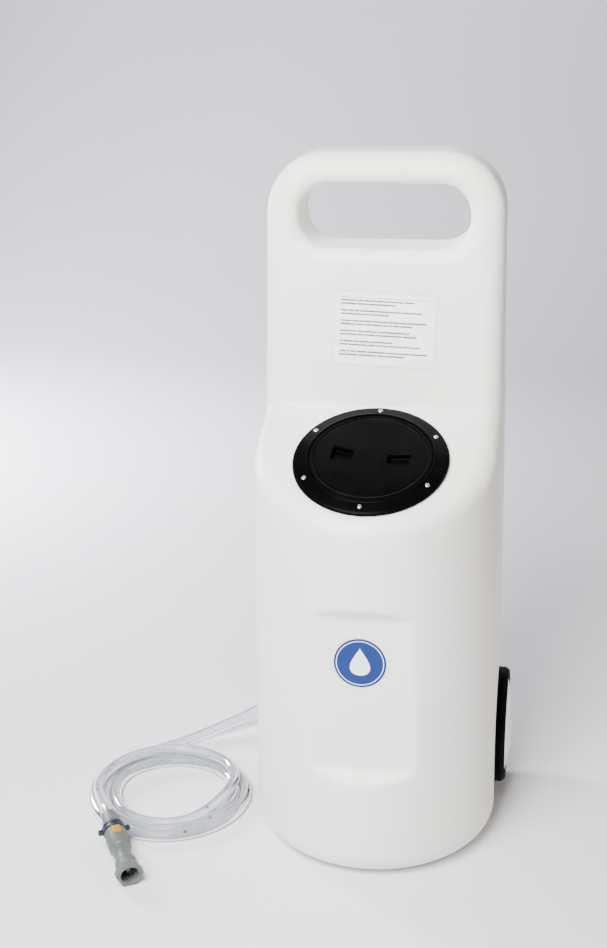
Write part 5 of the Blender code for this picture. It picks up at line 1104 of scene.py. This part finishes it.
def clear_tube(name, colour, hazy, dashes):
    """Clear soft PVC: it bends light, is a little blue where it is thick, and carries ink dashes."""
    material, add, place = start_finish(name, {
        "Transmission Weight": 0.86, "IOR": 1.30, "Specular IOR Level": 0.45})
    haze = clouds(add, place, 60.0)
    tone = add("Mix", {0: haze, 6: srgb(colour), 7: srgb(hazy)}, 2, data_type="RGBA")
    if dashes:
        along = add("UVMap", uv_map="along")
        axes = add("SeparateXYZ", (along,), None)
        steps = add("Math", (axes[0], dash_pitch), operation="DIVIDE")
        step = add("Math", (steps,), operation="FRACT")
        dash = add("Math", (step, dash_length / dash_pitch), operation="LESS_THAN")
        from_top = add("Math", (axes[1], 0.5), operation="PINGPONG")
        on_top = add("Math", (from_top, 0.035), operation="LESS_THAN")
        ink = add("Math", (dash, on_top), operation="MULTIPLY")
        ink = add("Math", (ink, 0.85), operation="MULTIPLY")
        tone = add("Mix", {0: ink, 6: tone, 7: srgb("30343C")}, 2, data_type="RGBA")
    gloss = add("MapRange", {"Value": haze, "To Min": 0.10, "To Max": 0.16})
    lay_on(material, tone, gloss, clouds(add, place, 90.0, 0.3, 0.7), 0.0002, 0.3)
    return material


hose = tube("clear_hose", hose_line, hose_radius, hose_bore, 24)
clear_pvc = clear_tube("clear_pvc_hose", "F3F5FA", "E9EDF5", True)
dress(hose, clear_pvc, "tank", "clear_hose", "hose_lead", "hose_coil", "hose_tail")
repaint(clear_tube("clear_inner_hose", "EEF1F5", "E2E7EE", False), "suction_hose", "outlet_hose_inner")


# Coupling
# A thumb-button quick coupling of grey-green acetal: a ferrule on the hose, a blue clamping ring with
# two tabs, and a body that steps down to a waist and ends in a hexagon socket with a seal in it.
coupling_frame = Matrix((Vector((0, 0, 1)).cross(coupling_way).normalized(),
                         coupling_way.cross(Vector((0, 0, 1)).cross(coupling_way)).normalized(),
                         coupling_way)).transposed().to_4x4()
coupling_frame.translation = coupling_start
coupling_length = (coupling_end - coupling_start).length
mouth_floor = coupling_length - 0.024
hexagon_radius = 0.0195


def coupling_ring(radius, along, hexagon=0.0, flats=0.0, steps=96):
    """A ring across the coupling, from a circle to a hexagon, pressed flat at its sides by flats."""
    ring = []
    for k in range(steps):
        turn = 2 * pi * k / steps
        reach = radius * (1 - hexagon + hexagon * cos(pi / 6) / cos(turn % (pi / 3) - pi / 6))
        x = max(-radius + flats, min(radius - flats, reach * cos(turn)))
        ring.append(coupling_frame @ Vector((x, reach * sin(turn), along)))
    return ring


coupling_rows = [(0.0122, 0.0303), (0.0122, 0.0430), (0.0150, 0.0435), (0.0155, 0.0442), (0.0155, 0.0612),
                 (0.0151, 0.0616), (0.0151, 0.0624), (0.0155, 0.0628), (0.0155, 0.0772), (0.0151, 0.0780),
                 (0.0138, 0.0798), (0.0134, 0.0808), (0.0134, 0.0834), (0.0130, 0.0846), (0.0121, 0.0892),
                 (0.0118, 0.0910), (0.0118, 0.1000), (0.0121, 0.1018), (0.0147, 0.1076), (0.0152, 0.1084),
                 (0.0152, 0.1208), (0.0183, 0.1217, 1.0), (0.0192, 0.1222, 1.0),
                 (hexagon_radius, 0.1232, 1.0),
                 (hexagon_radius, coupling_length - 0.0024, 1.0), (0.0193, coupling_length - 0.0010, 1.0),
                 (0.0187, coupling_length - 0.0001, 1.0), (0.0181, coupling_length, 0.97),
                 (0.0137, coupling_length), (0.0130, coupling_length - 0.0004),
                 (0.0125, coupling_length - 0.0014), (0.0125, mouth_floor + 0.012),
                 (0.0125, mouth_floor + 0.0004), (0.0121, mouth_floor),
                 (0.0050, mouth_floor), (0.0046, mouth_floor + 0.0006), (0.0043, mouth_floor + 0.0085),
                 (0.0036, mouth_floor + 0.0110), (0.0027, mouth_floor + 0.0120)]
coupling = skin("coupling_body_stepped", [coupling_ring(*row) for row in coupling_rows])
button_middle = 0.0530
slot_box = [(-0.0063, 0.0070), (0.0063, 0.0070), (0.0063, 0.0370), (-0.0063, 0.0370)]
slot_tool = skin("slot", [[coupling_frame @ Vector((x, y, button_middle + z)) for x, y in slot_box]
                          for z in (-0.0073, 0.0073)])
carve(coupling, slot_tool)
settle(coupling, slot_tool)
soften(coupling, 28)
acetal = moulded_plastic("grey_green_acetal", "5A605D", "494F4C", 0.44, 1400.0, 0.00008)
dress(coupling, acetal, "tank", "coupling_grey", "coupling_body")

ferrule_profile = [(0, 0.030, 0), (0.0125, 0.030, 0.0006), (0.0125, 0.0212, 0.002),
                   (0.0098, 0.0012, 0.0008), (0.0088, 0.0, 0.0003), (0, 0, 0)]
ferrule = turned("coupling_ferrule_round", eased(ferrule_profile), 72, coupling_frame)
dress(ferrule, acetal, "tank", "coupling_grey", "coupling_ferrule")

clamp_profile = [(0.0125, 0.0427, 0), (0.0152, 0.0427, 0.001), (0.0165, 0.0414, 0.001),
                 (0.0165, 0.0398, 0.0006), (0.0158, 0.0392, 0.0005), (0.0158, 0.0341, 0.0005),
                 (0.0165, 0.0335, 0.0006),
                 (0.0165, 0.0319, 0.001), (0.0152, 0.0306, 0.001), (0.0125, 0.0306, 0)]
clamp = turned("coupling_clamp_ring", eased(clamp_profile), 96, coupling_frame)
tabs = []
for side in (-1, 1):
    rings = []
    for x, pull in ((0.0140, 0), (0.0212, 0), (0.0222, 0.0004), (0.0225, 0.0012)):
        ring = rounded_box(0.00275 - pull, 0.0040 - pull, 0.0012, 5)
        rings.append([coupling_frame @ Vector((side * x, y, 0.03665 + z)) for y, z in ring])
    tabs.append(skin("tab", rings))
carve(clamp, *tabs, operation="UNION")
settle(clamp, *tabs)
soften(clamp, 30)
clamp_blue = moulded_plastic("blue_clamp_plastic", "081D30", "071A2B", 0.38, 1200.0, 0.00005)
dress(clamp, clamp_blue, "tank", "coupling_blue", "coupling_clamp")

button_rings = []
for y, pull in ((0.0100, 0.0004), (0.0104, 0.0), (0.0166, 0.0), (0.0175, 0.0006), (0.0180, 0.0018)):
    ring = rounded_box(0.0060 - pull, 0.0070 - pull, 0.0016, 6)
    button_rings.append([coupling_frame @ Vector((x, y, button_middle + z)) for x, z in ring])
button = skin("thumb_button", button_rings)
soften(button, 45)
button_plastic = moulded_plastic("yellow_button_plastic", "B07A02", "A67001", 0.38, 900.0, 0.00004)
dress(button, button_plastic, "button", "button_yellow", "coupling_button")
repaint(seal_rubber, "coupling_seal")
bpy.data.objects.remove(pan_screw, do_unlink=True)


# Floor and light
# A pale seamless paper sweep. One soft lamp stands left of the camera and one high in front of the cart.
# A third lights the paper behind on the left, a weak warm one the cart's right side, and an even grey
# surround opens the shadows.
sweep_front = -3.2
sweep_back = 4.2
sweep_curve = 1.7
sweep_top = 4.0
curve_start = sweep_back - sweep_curve
profile = [(sweep_front, 0.0), (-1.0, 0.0), (0.4, 0.0), (curve_start, 0.0)]
for k in range(1, 17):
    turn = k * pi / 32
    profile.append((curve_start + sweep_curve * sin(turn), sweep_curve * (1 - cos(turn))))
profile.append((sweep_back, sweep_top))
work = bmesh.new()
rows = [[work.verts.new((x, y, z)) for x in (-5.0, 5.0)] for y, z in profile]
for lower, upper in zip(rows, rows[1:]):
    work.faces.new((lower[0], lower[1], upper[1], upper[0]))
sweep = as_object("paper_sweep", work)
sweep.data.shade_smooth()
paper, add, place = start_finish("seamless_paper", {"Roughness": 0.85, "Specular IOR Level": 0.2})
fibre = clouds(add, place, 1.2)
tone = add("Mix", {0: fibre, 6: srgb("E9E9EC"), 7: srgb("E5E5E9")}, 2, data_type="RGBA")
lay_on(paper, tone, None, clouds(add, place, 300.0, 0.3, 0.7), 0.0001, 0.4)
sweep.data.materials.append(paper)


def soft_lamp(name, place, aim, size, power, colour):
    lamp = bpy.data.lights.new(name, "AREA")
    lamp.shape = "RECTANGLE"
    lamp.size = size[0]
    lamp.size_y = size[1]
    lamp.energy = power
    lamp.color = srgb(colour)[:3]
    holder = bpy.data.objects.new(name, lamp)
    holder.location = place
    holder.rotation_euler = (Vector(aim) - Vector(place)).to_track_quat("-Z", "Y").to_euler()
    bpy.context.scene.collection.objects.link(holder)


soft_lamp("front_lamp", (-0.40, -2.00, 1.38), (0.0, 0.0, 0.55), (0.8, 0.9), 48.0, "FFFDFA")
soft_lamp("high_lamp", (-0.40, -1.15, 1.85), (0.0, 0.0, 0.55), (1.0, 0.8), 95.0, "FFFEFC")
soft_lamp("backdrop_lamp", (-2.00, 1.20, 0.95), (-0.9, 1.9, 0.0), (0.7, 0.7), 155.0, "F6F8FF")
soft_lamp("side_lamp", (1.25, 0.45, 0.60), (0.1, -0.1, 0.35), (0.7, 0.9), 6.0, "FFF1DC")
surround = bpy.data.worlds.new("grey_surround")
surround.use_nodes = True
surround.node_tree.nodes["Background"].inputs["Color"].default_value = srgb("DCDEE4")
surround.node_tree.nodes["Background"].inputs["Strength"].default_value = 0.20
bpy.context.scene.world = surround
